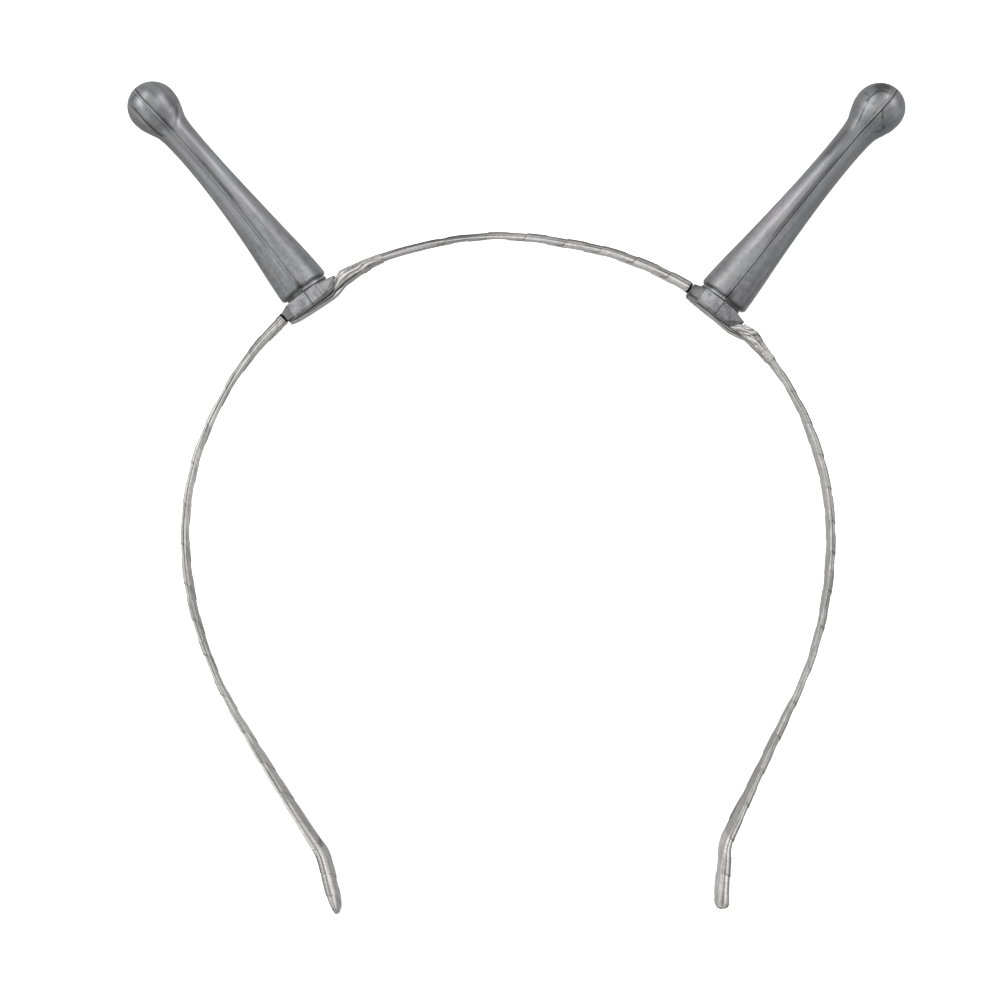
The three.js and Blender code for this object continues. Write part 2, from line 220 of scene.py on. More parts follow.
def strip_bar(at, clearance):
    """The four corners round the steel strip at each station, as rows."""
    half_thick, half_wide = STRIP_THICKNESS / 2 + clearance, STRIP_WIDTH / 2 + clearance
    corners = [on_band(at, out * half_thick, side * half_wide) for out, side in STRIP_CORNERS]
    return np.stack(corners, axis=1).reshape(-1, 3)


def antenna_place(antenna):
    """Matrix from the moulding's own frame to the headband's plane."""
    x, y, heading = (float(v) for v in band(antenna["station"]))
    along = Vector((math.cos(heading), math.sin(heading), 0))
    outward = Vector((-math.sin(heading), math.cos(heading), 0))
    origin = Vector((x, y, 0)) + outward * antenna["seat"]
    place = Matrix((along, Vector((0, 0, -1)), outward)).transposed().to_4x4()
    place.translation = origin
    return place


def rest_matrix():
    """From the headband's plane in mm to the row frame in metres, as the part lies at rest."""
    rim_height, rim_radius = STEM_PROFILE[0]
    rims = [(antenna_place(a) @ Vector((0, 0, rim_height))).y for a in ANTENNAS]
    tips = [float(band(s)[1]) for s in (0, BAND_LENGTH)]
    tilt = math.asin((rim_radius - RIBBON_HALF_WIDTH) / ((sum(rims) - sum(tips)) / 2))
    turn = Matrix.Rotation(tilt, 4, "X")
    turned = strip_bar(STRIP_AT, 0) @ np.array(turn.to_3x3()).T
    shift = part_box("band_strip")[0] / MM - Vector(turned.min(axis=0))
    return Matrix.Scale(MM, 4) @ Matrix.Translation(shift) @ turn


REST = rest_matrix()


def moved(points, matrix):
    """Rows of points through a matrix."""
    m = np.array(matrix)
    return points @ m[:3, :3].T + m[:3, 3]


def rows_of(*columns):
    """Columns of numbers, spread out to one shape, as rows."""
    return np.stack(np.broadcast_arrays(*columns), axis=-1).reshape(-1, len(columns))


def grid_faces(rows, columns, wrap):
    """Quads over a grid of rows and columns; wrap closes each row on itself."""
    index = np.arange(rows * columns).reshape(rows, columns)
    if wrap:
        index = np.concatenate([index, index[:, :1]], axis=1)
    corners = [index[:-1, :-1], index[:-1, 1:], index[1:, 1:], index[1:, :-1]]
    return np.stack(corners, axis=-1).reshape(-1, 4)


def rim_faces(first, second):
    """Quads between two closed loops of points."""
    return np.stack([first, np.roll(first, -1), np.roll(second, -1), second], axis=-1)


def fan_faces(loop, hub):
    """Triangles from a closed loop of points to one point."""
    return [[i, j, hub] for i, j in zip(loop, np.roll(loop, -1))]


def sheet_faces(rows, columns, wrap=False):
    """Faces of a sheet with two sides, the points of one after those of the other, and of its rims."""
    index = np.arange(rows * columns).reshape(rows, columns)
    if wrap:
        rims = [index[0], index[-1]]
    else:
        rims = [np.concatenate([index[:, 0], index[-1, 1:], index[-2::-1, -1], index[0, -2:0:-1]])]
    grid = grid_faces(rows, columns, wrap)
    closing = [rim_faces(rim, rim + index.size) for rim in rims]
    return np.concatenate([grid, grid[:, ::-1] + index.size, *closing])


def doubled(**marks):
    """Marks for a sheet whose two sides carry the same ones."""
    return {name: np.concatenate([rows, rows]) for name, rows in marks.items()}


def join_shells(shells):
    """Several (points, faces, marks) into one; marks are named arrays with a row for each point."""
    starts = np.cumsum([0] + [len(points) for points, _, _ in shells])
    faces = [[i + start for i in face] for (_, rows, _), start in zip(shells, starts) for face in rows]
    marks = {name: np.concatenate([own[name] for _, _, own in shells]) for name in shells[0][2]}
    return np.concatenate([points for points, _, _ in shells]), faces, marks


def add_object(name, data):
    """A new object in the scene."""
    thing = bpy.data.objects.new(name, data)
    bpy.context.scene.collection.objects.link(thing)
    return thing


def closed_mesh(name, points, faces):
    """A mesh with its faces turned outward."""
    mesh = bpy.data.meshes.new(name)
    mesh.from_pydata(points.tolist(), [], [list(map(int, face)) for face in faces])
    work = bmesh.new()
    work.from_mesh(mesh)
    bmesh.ops.recalc_face_normals(work, faces=work.faces)
    work.to_mesh(mesh)
    work.free()
    return mesh


# Angles in degrees from which an edge shows sharp.
SHARP = {"ribbon": 40, "moulding": 28, "shadow_sheet": 40}


def make_piece(name, points, faces, marks, material, sharp_angle):
    """One object from rows in the headband's plane, with attributes for its material."""
    mesh = closed_mesh(name, moved(points, REST), faces)
    for mark_name, rows in marks.items():
        rows = np.asarray(rows, np.float32)
        kind, field = ("FLOAT_VECTOR", "vector") if rows.ndim == 2 else ("FLOAT", "value")
        attribute = mesh.attributes.new(mark_name, kind, "POINT")
        attribute.data.foreach_set(field, rows.ravel())
    mesh.polygons.foreach_set("use_smooth", [True] * len(mesh.polygons))
    mesh.set_sharp_from_angle(angle=math.radians(sharp_angle))
    mesh.materials.append(material)
    piece = add_object(name, mesh)
    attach(piece, "root")
    return piece


class Look:
    """A material whose node tree is built up from marks, noises, ramps and products."""

    def __init__(self, name):
        self.material = bpy.data.materials.new(name)
        self.material.use_nodes = True
        self.nodes = self.material.node_tree.nodes

    def fill(self, node, inputs):
        """Wires a node's inputs to sockets, or sets them to values."""
        for name, value in inputs.items():
            if isinstance(value, bpy.types.NodeSocket):
                self.material.node_tree.links.new(value, node.inputs[name])
            else:
                node.inputs[name].default_value = value
        return node

    def mark(self, name, output="Fac"):
        """An attribute of the mesh."""
        attribute = self.nodes.new("ShaderNodeAttribute")
        attribute.attribute_name = name
        return attribute.outputs[output]

    def place(self):
        """The piece's own coordinates."""
        return self.nodes.new("ShaderNodeTexCoord").outputs["Object"]

    def noise(self, source, scale, detail, roughness=0.5):
        """Noise over a vector that is first scaled along its own axes."""
        mapping = self.fill(self.nodes.new("ShaderNodeMapping"), {"Vector": source, "Scale": scale})
        inputs = {"Vector": mapping.outputs["Vector"], "Scale": 1.0, "Detail": detail, "Roughness": roughness}
        return self.fill(self.nodes.new("ShaderNodeTexNoise"), inputs).outputs["Fac"]

    def ramp(self, source, *stops):
        """A colour ramp; each stop is a position with a colour, or with one number for a grey."""
        ramp = self.fill(self.nodes.new("ShaderNodeValToRGB"), {"Fac": source})
        elements = ramp.color_ramp.elements
        while len(elements) < len(stops):
            elements.new(0.5)
        for element, (position, colour) in zip(elements, stops):
            element.position = position
            element.color = (*colour, 1) if isinstance(colour, tuple) else (colour, colour, colour, 1)
        return ramp.outputs["Color"]

    def product(self, first, second, amount=1.0):
        """The product of two colours, or part of the way to it by an amount."""
        mix = self.nodes.new("ShaderNodeMix")
        mix.data_type = "RGBA"
        mix.blend_type = "MULTIPLY"
        return self.fill(mix, {"Factor": amount, "A": first, "B": second}).outputs["Result"]

    def bump(self, height, strength, distance):
        inputs = {"Height": height, "Strength": strength, "Distance": distance}
        return self.fill(self.nodes.new("ShaderNodeBump"), inputs).outputs["Normal"]

    def surface(self, inputs):
        """Fills in the shader and gives the material."""
        self.fill(self.nodes["Principled BSDF"], inputs)
        return self.material


def satin_material():
    """Silver satin ribbon: floats along the ribbon and soft creases, with painted shade and painted highlights from
    a mesh attribute.
    """
    look = Look("satin_ribbon")
    ribbon, fold = look.mark("ribbon", "Vector"), look.mark("fold")
    floats = look.noise(ribbon, (0.5, 4.0, 1.7), 4, 0.65)
    pleats = look.noise(look.mark("band", "Vector"), (0.05, 2.6, 2.6), 3, 0.6)
    creases = look.noise(ribbon, (0.9, 0.7, 2.3), 3)
    tone = look.ramp(floats, (0.3, (0.38, 0.376, 0.369)), (0.5, (0.52, 0.514, 0.502)), (0.7, (0.68, 0.673, 0.66)))
    shade = look.ramp(pleats, (0.36, 0.38), (0.5, 0.82), (0.62, 1.05))
    # Painted shade and painted highlights: the mesh attribute darkens the satin's colour, and lightens it below its
    # rest value.
    fold_and_painted_shade = look.ramp(fold, (0.0, 1.4), (0.2, 1.0), (1.0, 0.12))
    return look.surface({
        "Base Color": look.product(look.product(tone, shade), fold_and_painted_shade),
        "Roughness": look.ramp(creases, (0.3, 0.3), (0.7, 0.44)),
        "Normal": look.bump(floats, strength=0.35, distance=0.00006),
        "Specular IOR Level": look.ramp(fold, (0.2, 0.6), (0.8, 0.1)),
        "Metallic": 0.2,
        "Sheen Weight": 0.08,
        "Sheen Roughness": 0.4,
    })


def pearl_material():
    """Pearly silver plastic: streaks along the moulding, fine flakes, blotches, darker seams, marks where it flowed,
    and painted light and shade.
    """
    look = Look("pearl_plastic")
    moulding, flow = look.mark("moulding", "Vector"), look.mark("flow")
    streaks = look.noise(moulding, (0.8, 0.8, 0.07), 4, 0.6)
    clouds = look.noise(moulding, (0.22, 0.22, 0.1), 2)
    flakes = look.noise(moulding, (4.2, 4.2, 3.2), 3, 0.7)
    blotches = look.noise(moulding, (0.7, 0.7, 0.9), 3, 0.6)
    tone = look.ramp(streaks, (0.3, (0.155, 0.157, 0.165)), (0.5, (0.225, 0.225, 0.23)), (0.72, 0.3))
    tint = look.ramp(clouds, (0.35, (0.93, 0.97, 1.0)), (0.5, 1.0), (0.66, (1.0, 0.965, 1.0)))
    grain = look.ramp(flakes, (0.3, 0.68), (0.7, 1.1))
    patchy = look.ramp(blotches, (0.36, 0.48), (0.5, 0.86), (0.62, 1.05))
    # The mesh attribute darkens and lightens the colour: dark seams and marks where the plastic flowed, with painted
    # highlights and painted shade.
    marked = look.ramp(flow, (0.0, 0.2), (0.5, 0.8), (1.0, 1.25))
    grained = look.product(look.product(tone, tint), grain)
    mottled = look.product(grained, patchy, look.mark("mottle"))
    return look.surface({
        "Base Color": look.product(mottled, marked),
        "Roughness": look.ramp(flakes, (0.3, 0.42), (0.7, 0.56)),
        "Normal": look.bump(streaks, strength=0.2, distance=0.00005),
        "Metallic": 0.3,
        "Coat Weight": look.ramp(flow, (0.0, 0.25), (0.2, 1.0)),
        "Coat Roughness": 0.36,
    })


def steel_material():
    """Dull dark spring steel with fine rolling lines."""
    look = Look("spring_steel")
    lines = look.noise(look.place(), (900, 900, 9000), 3)
    return look.surface({
        "Base Color": look.ramp(lines, (0.35, (0.02, 0.02, 0.021)), (0.65, (0.05, 0.05, 0.052))),
        "Roughness": look.ramp(lines, (0.3, 0.4), (0.7, 0.55)),
        "Metallic": 0.8,
    })


def shadow_sheet_material():
    """Near-black rough surface in the mouth of a foot's slot: a painted shadow of the slot's inside."""
    look = Look("slot_shadow_sheet")
    fine = look.noise(look.place(), (4000, 4000, 4000), 2)
    return look.surface({
        "Base Color": look.ramp(fine, (0.3, 0.003), (0.7, 0.008)),
        "Roughness": 0.9,
        "Specular IOR Level": 0.05,
    })


def floor_material():
    """Plain pale floor, lit a little from within so that it stays white under the part."""
    look = Look("pale_floor")
    fine = look.noise(look.place(), (40, 40, 40), 2)
    return look.surface({
        "Base Color": look.ramp(fine, (0.3, 0.9), (0.7, 0.92)),
        "Roughness": 0.9,
        "Specular IOR Level": 0.1,
        "Emission Color": (1, 1, 1, 1),
        "Emission Strength": 0.5,
    })


SATIN = satin_material()
PEARL = pearl_material()
STEEL = steel_material()
SHADOW_SHEET = shadow_sheet_material()


# Section of the winding, once round from the middle of the front edge over the outer face. The edges are
# two rounded ridges with a groove between them.
RIDGE_STOPS = (0.0, 0.05, 0.12, 0.22, 0.35)
ROUND_TURNS = (0.0, 30.0, 60.0, 90.0)
FACE_STOPS = (0.85, 0.6, 0.3, 0.0)
EDGE_ROUND = 0.36
OUT, SIDE, GROOVE, ROUND, OUT_NORMAL, SIDE_NORMAL = range(6)


def section_samples():
    """Rows of shares outward, sideways, of groove and of rounding, and the normal outward and sideways."""
    rows = [(s, 1, 1 - math.sqrt(1 - (1 - 2 * s) ** 2), 0, 0, 1) for s in RIDGE_STOPS]
    for turn in ROUND_TURNS:
        out, side = math.sin(math.radians(turn)), math.cos(math.radians(turn))
        rows.append((0.5 + 0.5 * out, 1, 0, 1 - side, out, side))
    rows += [(1, s, 0, 1, 1, 0) for s in FACE_STOPS]
    rows += [(o, -s, g, r, no, -ns) for o, s, g, r, no, ns in reversed(rows[:-1])]
    rows += [(-o, s, g, r, -no, ns) for o, s, g, r, no, ns in reversed(rows[1:-1])]
    return np.array(rows)


SECTION = section_samples()


def section_turns():
    """How far round the section each sample lies, as a share of one turn, and the length of a turn."""
    out = SECTION[:, OUT] * PLAIN_THICKNESS / 2
    side = SECTION[:, SIDE] * (RIBBON_HALF_WIDTH - SECTION[:, ROUND] * EDGE_ROUND)
    step = np.hypot(np.diff(out, append=out[0]), np.diff(side, append=side[0]))
    walked = np.concatenate([[0], np.cumsum(step)])
    return walked[:-1] / walked[-1], walked[-1]


SECTION_AT, SECTION_ROUND = section_turns()

# Where each bunch ends, over what length its folds get shallower before that, and how far they swing, in turns.
GATHERS = {
    "crown": {"end": 154.5, "fade": 5.0, "sweep": 0.1},
    "right": {"end": 240.0, "fade": 0.5, "sweep": 0.2},
}

# Where the two rounded tips end, and over what lengths they round off in thickness and in width.
TIP_ROUNDING = {
    "left": {"end": -0.6, "thick": 4.2, "wide": 2.4},
    "right": {"end": BAND_LENGTH, "thick": 1.1, "wide": 1.6},
}

# Painted shade on the middle groove and on the outer and the inner shoulder of the front edge, and painted
# highlights on its two ridges, at distances along the band.
PLEAT_SHADING = table(("at", "groove", "ridge", "outer", "inner"), [
    (0, 0.35, 0.1, 0.6, 0.25), (12, 0.35, 0.1, 0.6, 0.3), (14, 0.1, 0.05, -0.1, 0.35), (36, 0.15, 0, 0, 0.25),
    (42, 0.3, 0, 0.05, 0.05), (50, 0.75, -0.15, 0, 0.15), (60, 0.8, -0.4, 0.1, 0.45), (75, 0.75, -0.35, 0.1, 0.35),
    (85, 0.6, -0.15, 0.05, -0.2), (100, 0.35, -0.1, 0.1, -0.1), (113, 0.2, -0.4, 0.3, 0.2),
    (120, -0.25, 0.1, 0.95, 0), (131, -0.2, 0.1, 0.95, 0), (154, -0.2, 0.15, 0.9, 0.2),
    (168, -0.15, 0.1, 0.95, 0.15), (180, 0.05, 0, 0.8, -0.15),
    (190, 0.3, -0.1, 0.85, -0.25), (202, 0.45, -0.25, 0.9, -0.25), (218, 0.45, -0.25, 0.9, -0.25),
    (240, 0.7, 0.2, 0.8, 0.1), (252, 0.7, 0.1, 0.8, 0.1), (262, 0.6, -0.1, 0.7, 0.1), (275, 0.6, -0.3, 0.6, 0.25),
    (290, 0.3, -0.05, 0.3, 0.2), (296, 0, 0.05, 0.45, 0.3), (312, 0, 0.05, 0.45, 0.3), (318, 0.15, -0.1, 0.6, 0.35),
    (330, 0.1, -0.05, 0.5, 0.5), (336, 0.05, 0, 0.65, 0.4), (341, 0.1, 0, 0.55, 0.4), (342, 0.4, 0.15, 0.5, 0),
    (357, 0.45, 0.15, 0.5, 0),
])

# Painted shade of creases on the inner face beside the two kinks, from and to (distance along the band, sideways).
KINK_CREASES = [
    {"from": (13.6, 1.2), "to": (14.6, -2.8), "width": 0.55},
    {"from": (336.4, -1.3), "to": (338.8, -1.7), "width": 0.5},
]
SHADING_REST = 0.2
LIGHTEST_SHADE = -0.25

# Breadth of the front edge's shoulders in mm, and where the front and the inner face begin to show painted shade.
SHOULDER = 0.25
FRONT_SHADE = {"start": 0.6, "over": 0.3}
INNER_SHADE = {"start": 0.3, "over": 0.4}


def near(distance, place, width):
    """1 at a place, falling to 0 over a width on both sides."""
    return np.exp(-(((distance - place) / width) ** 2))


def ramped(value, start, over):
    """0 up to a start, then rising to 1 over a length."""
    return np.clip((value - start) / over, 0, 1)


def smooth_step(share):
    """A share from 0 to 1 with its ends eased."""
    return share * share * (3 - 2 * share)


def wave(along, across, along_rate, across_rate, phase=0):
    """A sine wave over two measures, from its rate in each and its phase."""
    return np.sin(along * along_rate + across * across_rate + phase)


def along_segment(points, a, b):
    """The nearest place to each point on a segment, as a share of it, and the distance there."""
    share = np.clip(((points - a) @ (b - a)) / ((b - a) @ (b - a)), 0, 1)
    return share, np.linalg.norm(points - a - share[:, None] * (b - a), axis=1)


def painted_shading_mark(shade):
    """The attribute for painted shade, from below 0, a painted highlight lighter than the plain satin, to 1, the
    darkest painted shade.
    """
    return SHADING_REST + (1 - SHADING_REST) * np.clip(shade, LIGHTEST_SHADE, 1)


def painted_pleat_shade(station, sample):
    """Painted shade of the groove and shoulders and painted highlights on the ridges, at stations and section
    samples.
    """
    groove, ridge, outer, inner = (value_at(PLEAT_SHADING, name, station) for name in ("groove", "ridge", "outer", "inner"))
    from_rim = (1 - np.abs(sample[..., OUT])) * plain_thickness(station) / 2
    shoulder = np.clip(2 - from_rim / SHOULDER, 0, 1)
    beside = np.where(sample[..., OUT] > 0, outer * ramped(sample[..., SIDE], **FRONT_SHADE), inner)
    middle = groove * sample[..., GROOVE] - ridge * (1 - sample[..., GROOVE])
    return middle * (1 - shoulder) + beside * shoulder


def crease_shade(places):
    """Painted shade of the creases beside the kinks for rows of (station, outward, sideways)."""
    shade = np.zeros(len(places))
    for painted_crease_shade in KINK_CREASES:
        _, distance = along_segment(places[:, [0, 2]], np.array(painted_crease_shade["from"]), np.array(painted_crease_shade["to"]))
        shade = np.maximum(shade, near(distance, 0, painted_crease_shade["width"]))
    return shade * ramped(-places[:, 1], **INNER_SHADE)


# Where the photograph shows the winding further out or thicker than the plain section, along the band.
SET = table(("at", "shift", "swell"), [
    (0, -0.35, 0.15), (3, -0.25, 0.2), (8, -0.22, 0.3), (12, -0.12, 0.2), (14, 0.05, 0), (34, 0.1, 0),
    (46, 0, -0.03), (54, -0.05, -0.03), (60, -0.15, 0.1), (74, -0.1, 0.1), (84, 0.1, 0.02), (98, 0.14, 0),
    (106, -0.1, 0), (116, -0.15, 0), (124, -0.2, 0.05), (131, -0.2, 0.05), (144, 0, 0), (154, 0, 0), (162, -0.11, 0),
    (177, 0.2, -0.08), (184, 0, 0), (192, -0.26, 0.1), (200, 0, 0), (209, 0.07, 0), (218, 0.05, 0), (230, 0, 0),
    (254, 0, 0), (259, -0.08, 0.12), (264, 0, 0), (276, 0.12, 0), (289, 0.05, 0.05), (304, 0.08, 0),
    (318, 0.06, 0.08), (331, 0.12, 0), (340, 0.08, 0), (343, 0.15, 0.05), (347, 0.12, 0.2),
    (352, 0, 0.4), (357, -0.05, 0.5),
])
LEAST_TIP = 1e-4
WINDING_INSET = 1.5 * CLOTH


def plain_thickness(station):
    """Thickness of the winding, which is plain under the bunches."""
    thick = value_at(WINDING, "thick", station)
    for antenna, gather in zip(ANTENNAS, GATHERS.values()):
        inside = (station > antenna["station"]) & (station < gather["end"])
        thick = np.where(inside, PLAIN_THICKNESS, thick)
    return thick


def tip_scale(station, key):
    """How much of the section is left near the two rounded tips."""
    left, right = TIP_ROUNDING["left"], TIP_ROUNDING["right"]
    scale = np.ones_like(station)
    for distance, tip in ((station - left["end"], left), (right["end"] - station, right)):
        share = ramped(distance, 0, tip[key])
        scale = scale * np.sqrt(np.maximum(1 - (1 - share) ** 2, LEAST_TIP))
    return scale


def winding_place(station, sample, lift, groove, side_lift=None):
    """Rows of (station, outward, sideways) over the winding, from its lift over the underlay and its groove."""
    side_lift = lift if side_lift is None else side_lift
    thick = plain_thickness(station) + value_at(SET, "swell", station)
    half_thick = (thick / 2 - WINDING_INSET) * tip_scale(station, "thick")
    half_wide = (RIBBON_HALF_WIDTH - WINDING_INSET) * tip_scale(station, "wide")
    dip = sample[..., GROOVE] * groove + sample[..., ROUND] * np.minimum(EDGE_ROUND, half_thick)
    out = sample[..., OUT] * half_thick + sample[..., OUT_NORMAL] * lift + value_at(SET, "shift", station)
    side = sample[..., SIDE] * np.maximum(half_wide - dip, 0) + sample[..., SIDE_NORMAL] * side_lift
    return rows_of(station, out, side)


def from_band(places):
    """Points of rows of (station, outward, sideways)."""
    return on_band(*places.T)


def lap_line(laps):
    """Stations and shades of the laps, with turns added at both ends."""
    spare = 3
    stations, shades = (np.array(column, float) for column in zip(*laps))
    before = stations[0] - LAP_PITCH * np.arange(spare, 0, -1)
    after = stations[-1] + LAP_PITCH * np.arange(1, spare + 1)
    return np.concatenate([before, stations, after]), np.pad(shades, spare, mode="edge")


# Columns across the ribbon, closest together beside the edge that lies on top, as shares of its width.
LIP_STOPS = (0.0, 0.008, 0.016, 0.026, 0.04, 0.06)
ACROSS = np.concatenate([LIP_STOPS, np.linspace(0.1, 0.5, 7), np.linspace(0.58, 1, 6)])

# Breadth of the painted shadow along a turn's edge, length and height of its step off the turn below and the
# narrowest ribbon kept, in mm, then the depth of the groove along the front edge and its waves, by mm and by turn.
LIP_SHADE = 0.2
LAP_EASE = 0.8
LAP_LIFT = 1.05 * CLOTH
LEAST_WIDTH = 0.05
TURN_GROOVE = 0.24
TURN_WOBBLE = 0.03
TURN_WAVES = [(0.35, 2.1), (-0.21, 5.3)]

# Shares of the section over which the painted shadow along a turn's edge comes in, on the outer face and on the
# front.
LAP_OUT = {"start": -0.6, "over": 0.5}
LAP_FRONT = {"start": 0, "over": 0.5}


def wound_ribbon(name, start, end, lap_end):
    """The ribbon wound on the band as one long closed strip; lap_end says which edge lies on top."""
    toward = 1 if lap_end == "start" else -1
    laps, shades = lap_line(LAPS[name])
    counts = np.arange(len(laps))
    turn = (counts[1:-1, None] + SECTION_AT).ravel()
    lip = np.interp(turn, counts, laps)
    first = np.clip(lip, start, end)
    last = np.clip(lip + toward * RIBBON_AXIAL_WIDTH, start, end)
    keep = np.abs(last - first) > LEAST_WIDTH
    turn, lip, first, last = (values[keep, None] for values in (turn, lip, first, last))
    sample = np.tile(SECTION, (len(laps) - 2, 1))[keep, None]
    station = first + (last - first) * ACROSS
    from_lip = np.abs(station - lip)
    lapped = RIBBON_AXIAL_WIDTH - toward * (lip - np.interp(turn - toward, counts, laps))
    lift = LAP_LIFT * (1 - smooth_step(ramped(from_lip, lapped - LAP_EASE / 2, LAP_EASE)))
    wobble = sum(wave(station, turn, *rates) for rates in TURN_WAVES)
    groove = TURN_GROOVE + TURN_WOBBLE * wobble
    top = winding_place(station, sample, lift + CLOTH, groove)
    places = np.concatenate([top, winding_place(station, sample, lift, groove)])
    on_show = ramped(LAP_SIDE[name] * sample[..., OUT], **LAP_OUT) * ramped(sample[..., SIDE], **LAP_FRONT)
    # Painted shadow along the edge of each turn and painted shade in the kink creases, laid over the painted shade
    # of the front edge.
    lap_shadow = near(from_lip, 0, LIP_SHADE) * on_show * np.interp(turn, counts, shades)
    dark = np.maximum(lap_shadow, crease_shade(top).reshape(lap_shadow.shape))
    fold = painted_shading_mark(dark + painted_pleat_shade(station, sample) * (1 - dark))
    ribbon = rows_of(turn * SECTION_ROUND, station - lip, np.floor(turn))
    marks = doubled(ribbon=ribbon, fold=fold.ravel()) | {"band": places}
    flat_length = len(turn) / len(SECTION) * math.hypot(SECTION_ROUND, LAP_PITCH)
    return from_band(places), sheet_faces(*station.shape), marks, flat_length


# The turns below: their bore over the strip, and rows closer together towards a tip.
BORE_CLEARANCE = 0.06
BORE_SPARE = 0.1
BORE_STEP = 1.5
UNDERLAY_STEP = 0.8
UNDERLAY_GROOVE = 0.3
# The turns below take an even painted shade.
UNDERLAY_SHADE = 0.4
TIP_STOPS = np.array([0.0, 0.06, 0.16, 0.3, 0.5, 0.75, 1.05, 1.4])
TIP_REACH = 1.6


def section_rings(at, half_thick, half_wide):
    """Rings of points round the band at stations, with the plan of the section."""
    station = np.broadcast_to(at[:, None], (len(at), len(SECTION)))
    return on_band(station, SECTION[:, OUT] * half_thick, SECTION[:, SIDE] * half_wide)


def strip_rings(at):
    """Rings close round the steel strip."""
    return section_rings(at, STRIP_THICKNESS / 2 + BORE_CLEARANCE, STRIP_WIDTH / 2 + BORE_CLEARANCE)


def underlay(start, end, tip_at_start, tip_at_end):
    """The turns below: a sleeve round the steel strip, rounded over where it ends in a tip."""
    at = stations_between(start, end, UNDERLAY_STEP)
    bore_start, bore_end = start, end
    if tip_at_start:
        tip = TIP_ROUNDING["left"]["end"]
        at = np.concatenate([tip + TIP_STOPS, at[at > tip + TIP_REACH]])
        bore_start = STRIP_END_INSET - BORE_SPARE
    if tip_at_end:
        tip = TIP_ROUNDING["right"]["end"]
        at = np.concatenate([at[at < tip - TIP_REACH], (tip - TIP_STOPS)[::-1]])
        bore_end = BAND_LENGTH - STRIP_END_INSET + BORE_SPARE
    count = len(SECTION)
    station = np.broadcast_to(at[:, None], (len(at), count))
    places = winding_place(station, SECTION, 0, UNDERLAY_GROOVE)
    outer = from_band(places).reshape(len(at), count, 3)
    inner = strip_rings(stations_between(bore_start, bore_end, BORE_STEP))
    base = len(places)
    faces = [*grid_faces(len(outer), count, True), *(grid_faces(len(inner), count, True)[:, ::-1] + base)]
    points = [*outer.reshape(-1, 3), *inner.reshape(-1, 3)]
    ring = np.arange(count)
    for tip, outer_row, inner_row in ((tip_at_start, 0, 0), (tip_at_end, len(outer) - 1, len(inner) - 1)):
        loops = outer_row * count + ring, base + inner_row * count + ring
        if not tip:
            faces += [*rim_faces(*loops)]
            continue
        for loop, row in zip(loops, (outer[outer_row], inner[inner_row])):
            faces += fan_faces(loop, len(points))
            points.append(row.mean(axis=0))
    points = np.array(points)
    ribbon, banded = np.zeros_like(points), np.zeros_like(points)
    ribbon[:base, 0] = np.tile(SECTION_AT * SECTION_ROUND, len(at))
    ribbon[:base, 1] = np.repeat(at, count)
    banded[:base] = places
    return points, faces, {"ribbon": ribbon, "band": banded, "fold": np.full(len(points), painted_shading_mark(UNDERLAY_SHADE))}


# The bunches: folds round the band, points to each of them, lengths in mm along the band and outward, and the waves
# that spread the folds unevenly, as (share of a turn, rate, phase).
FOLDS_ROUND = 19
FOLD_SAMPLES = 10
FOLD_SPREAD = [(0.02, 18.85, 0.5), (0.011, 43.98, 2.0)]
FOLD_SWAY = {"size": 0.25, "rates": (0.9, 12.6)}
FOLD_STEP = 0.16
FOLD_DEPTH = 0.42
OWN_DEPTH = {"mean": 0.6, "vary": 0.4, "rate": 2.4, "phase": 0.7}
FADED_DEPTH = 0.4
FOLD_POINT = 0.6
FOLD_REACH = 2.6
FOLD_FRONT = 0.5
# The shade in the fold valleys and on the outer side is painted shade, and the lighter ribbon by the toe is a
# painted highlight.
FOLD_CREASE = {"shade": 0.85, "width": 0.4, "full_depth": 0.2}
CRUMPLE = 0.09
CRUMPLE_WAVES = [(4.3, 31.4), (2.1, -56.5, 1.0)]
OUTER_SHADE = {"shade": 0.5, "over": 0.4}
PAINTED_TOE_LIGHT = {"shade": 0.25, "reach": 2.5}
TOE_OVERLAP = 0.35
TOE_FADE = 2
BUNCH_LEAST = 3.2 * CLOTH
BUNCH_BORE = 2.3 * CLOTH
BUNCH_WALL = 2.6 * CLOTH
BUNCH_FRONT = 0.05
LEAST_FOLD = 0.05

# Scales of the satin's floats and pleats along a bunch and round it, and their place in the noise.
BUNCH_FLOATS = (1.3, 1.1, 50)
BUNCH_PLEATS = (6, 0.6, 0)

# How far the bunch reaches outward and inward from the band's middle, at distances along from the foot.
BUNCH_COLUMNS = ("at", "out", "in")
BUNCHES = {
    "left": table(BUNCH_COLUMNS, [
        (5.5, 0.5, 1.9), (6.6, 0.8, 1.8), (7.8, 1.0, 1.6), (9.8, 0.85, 1.2), (11.8, 0.75, 1.35), (14, 0.65, 1.0),
        (17, 0.62, 0.9),
    ]),
    "right": table(BUNCH_COLUMNS, [
        (5.5, 0.4, 2.1), (6.4, 0.65, 1.8), (7.4, 1.05, 1.4), (9.4, 1.45, 1.2), (10.4, 1.3, 1.2), (11.4, 1.05, 1.15),
        (13, 0.85, 1.0), (15.4, 0.75, 0.95),
    ]),
}


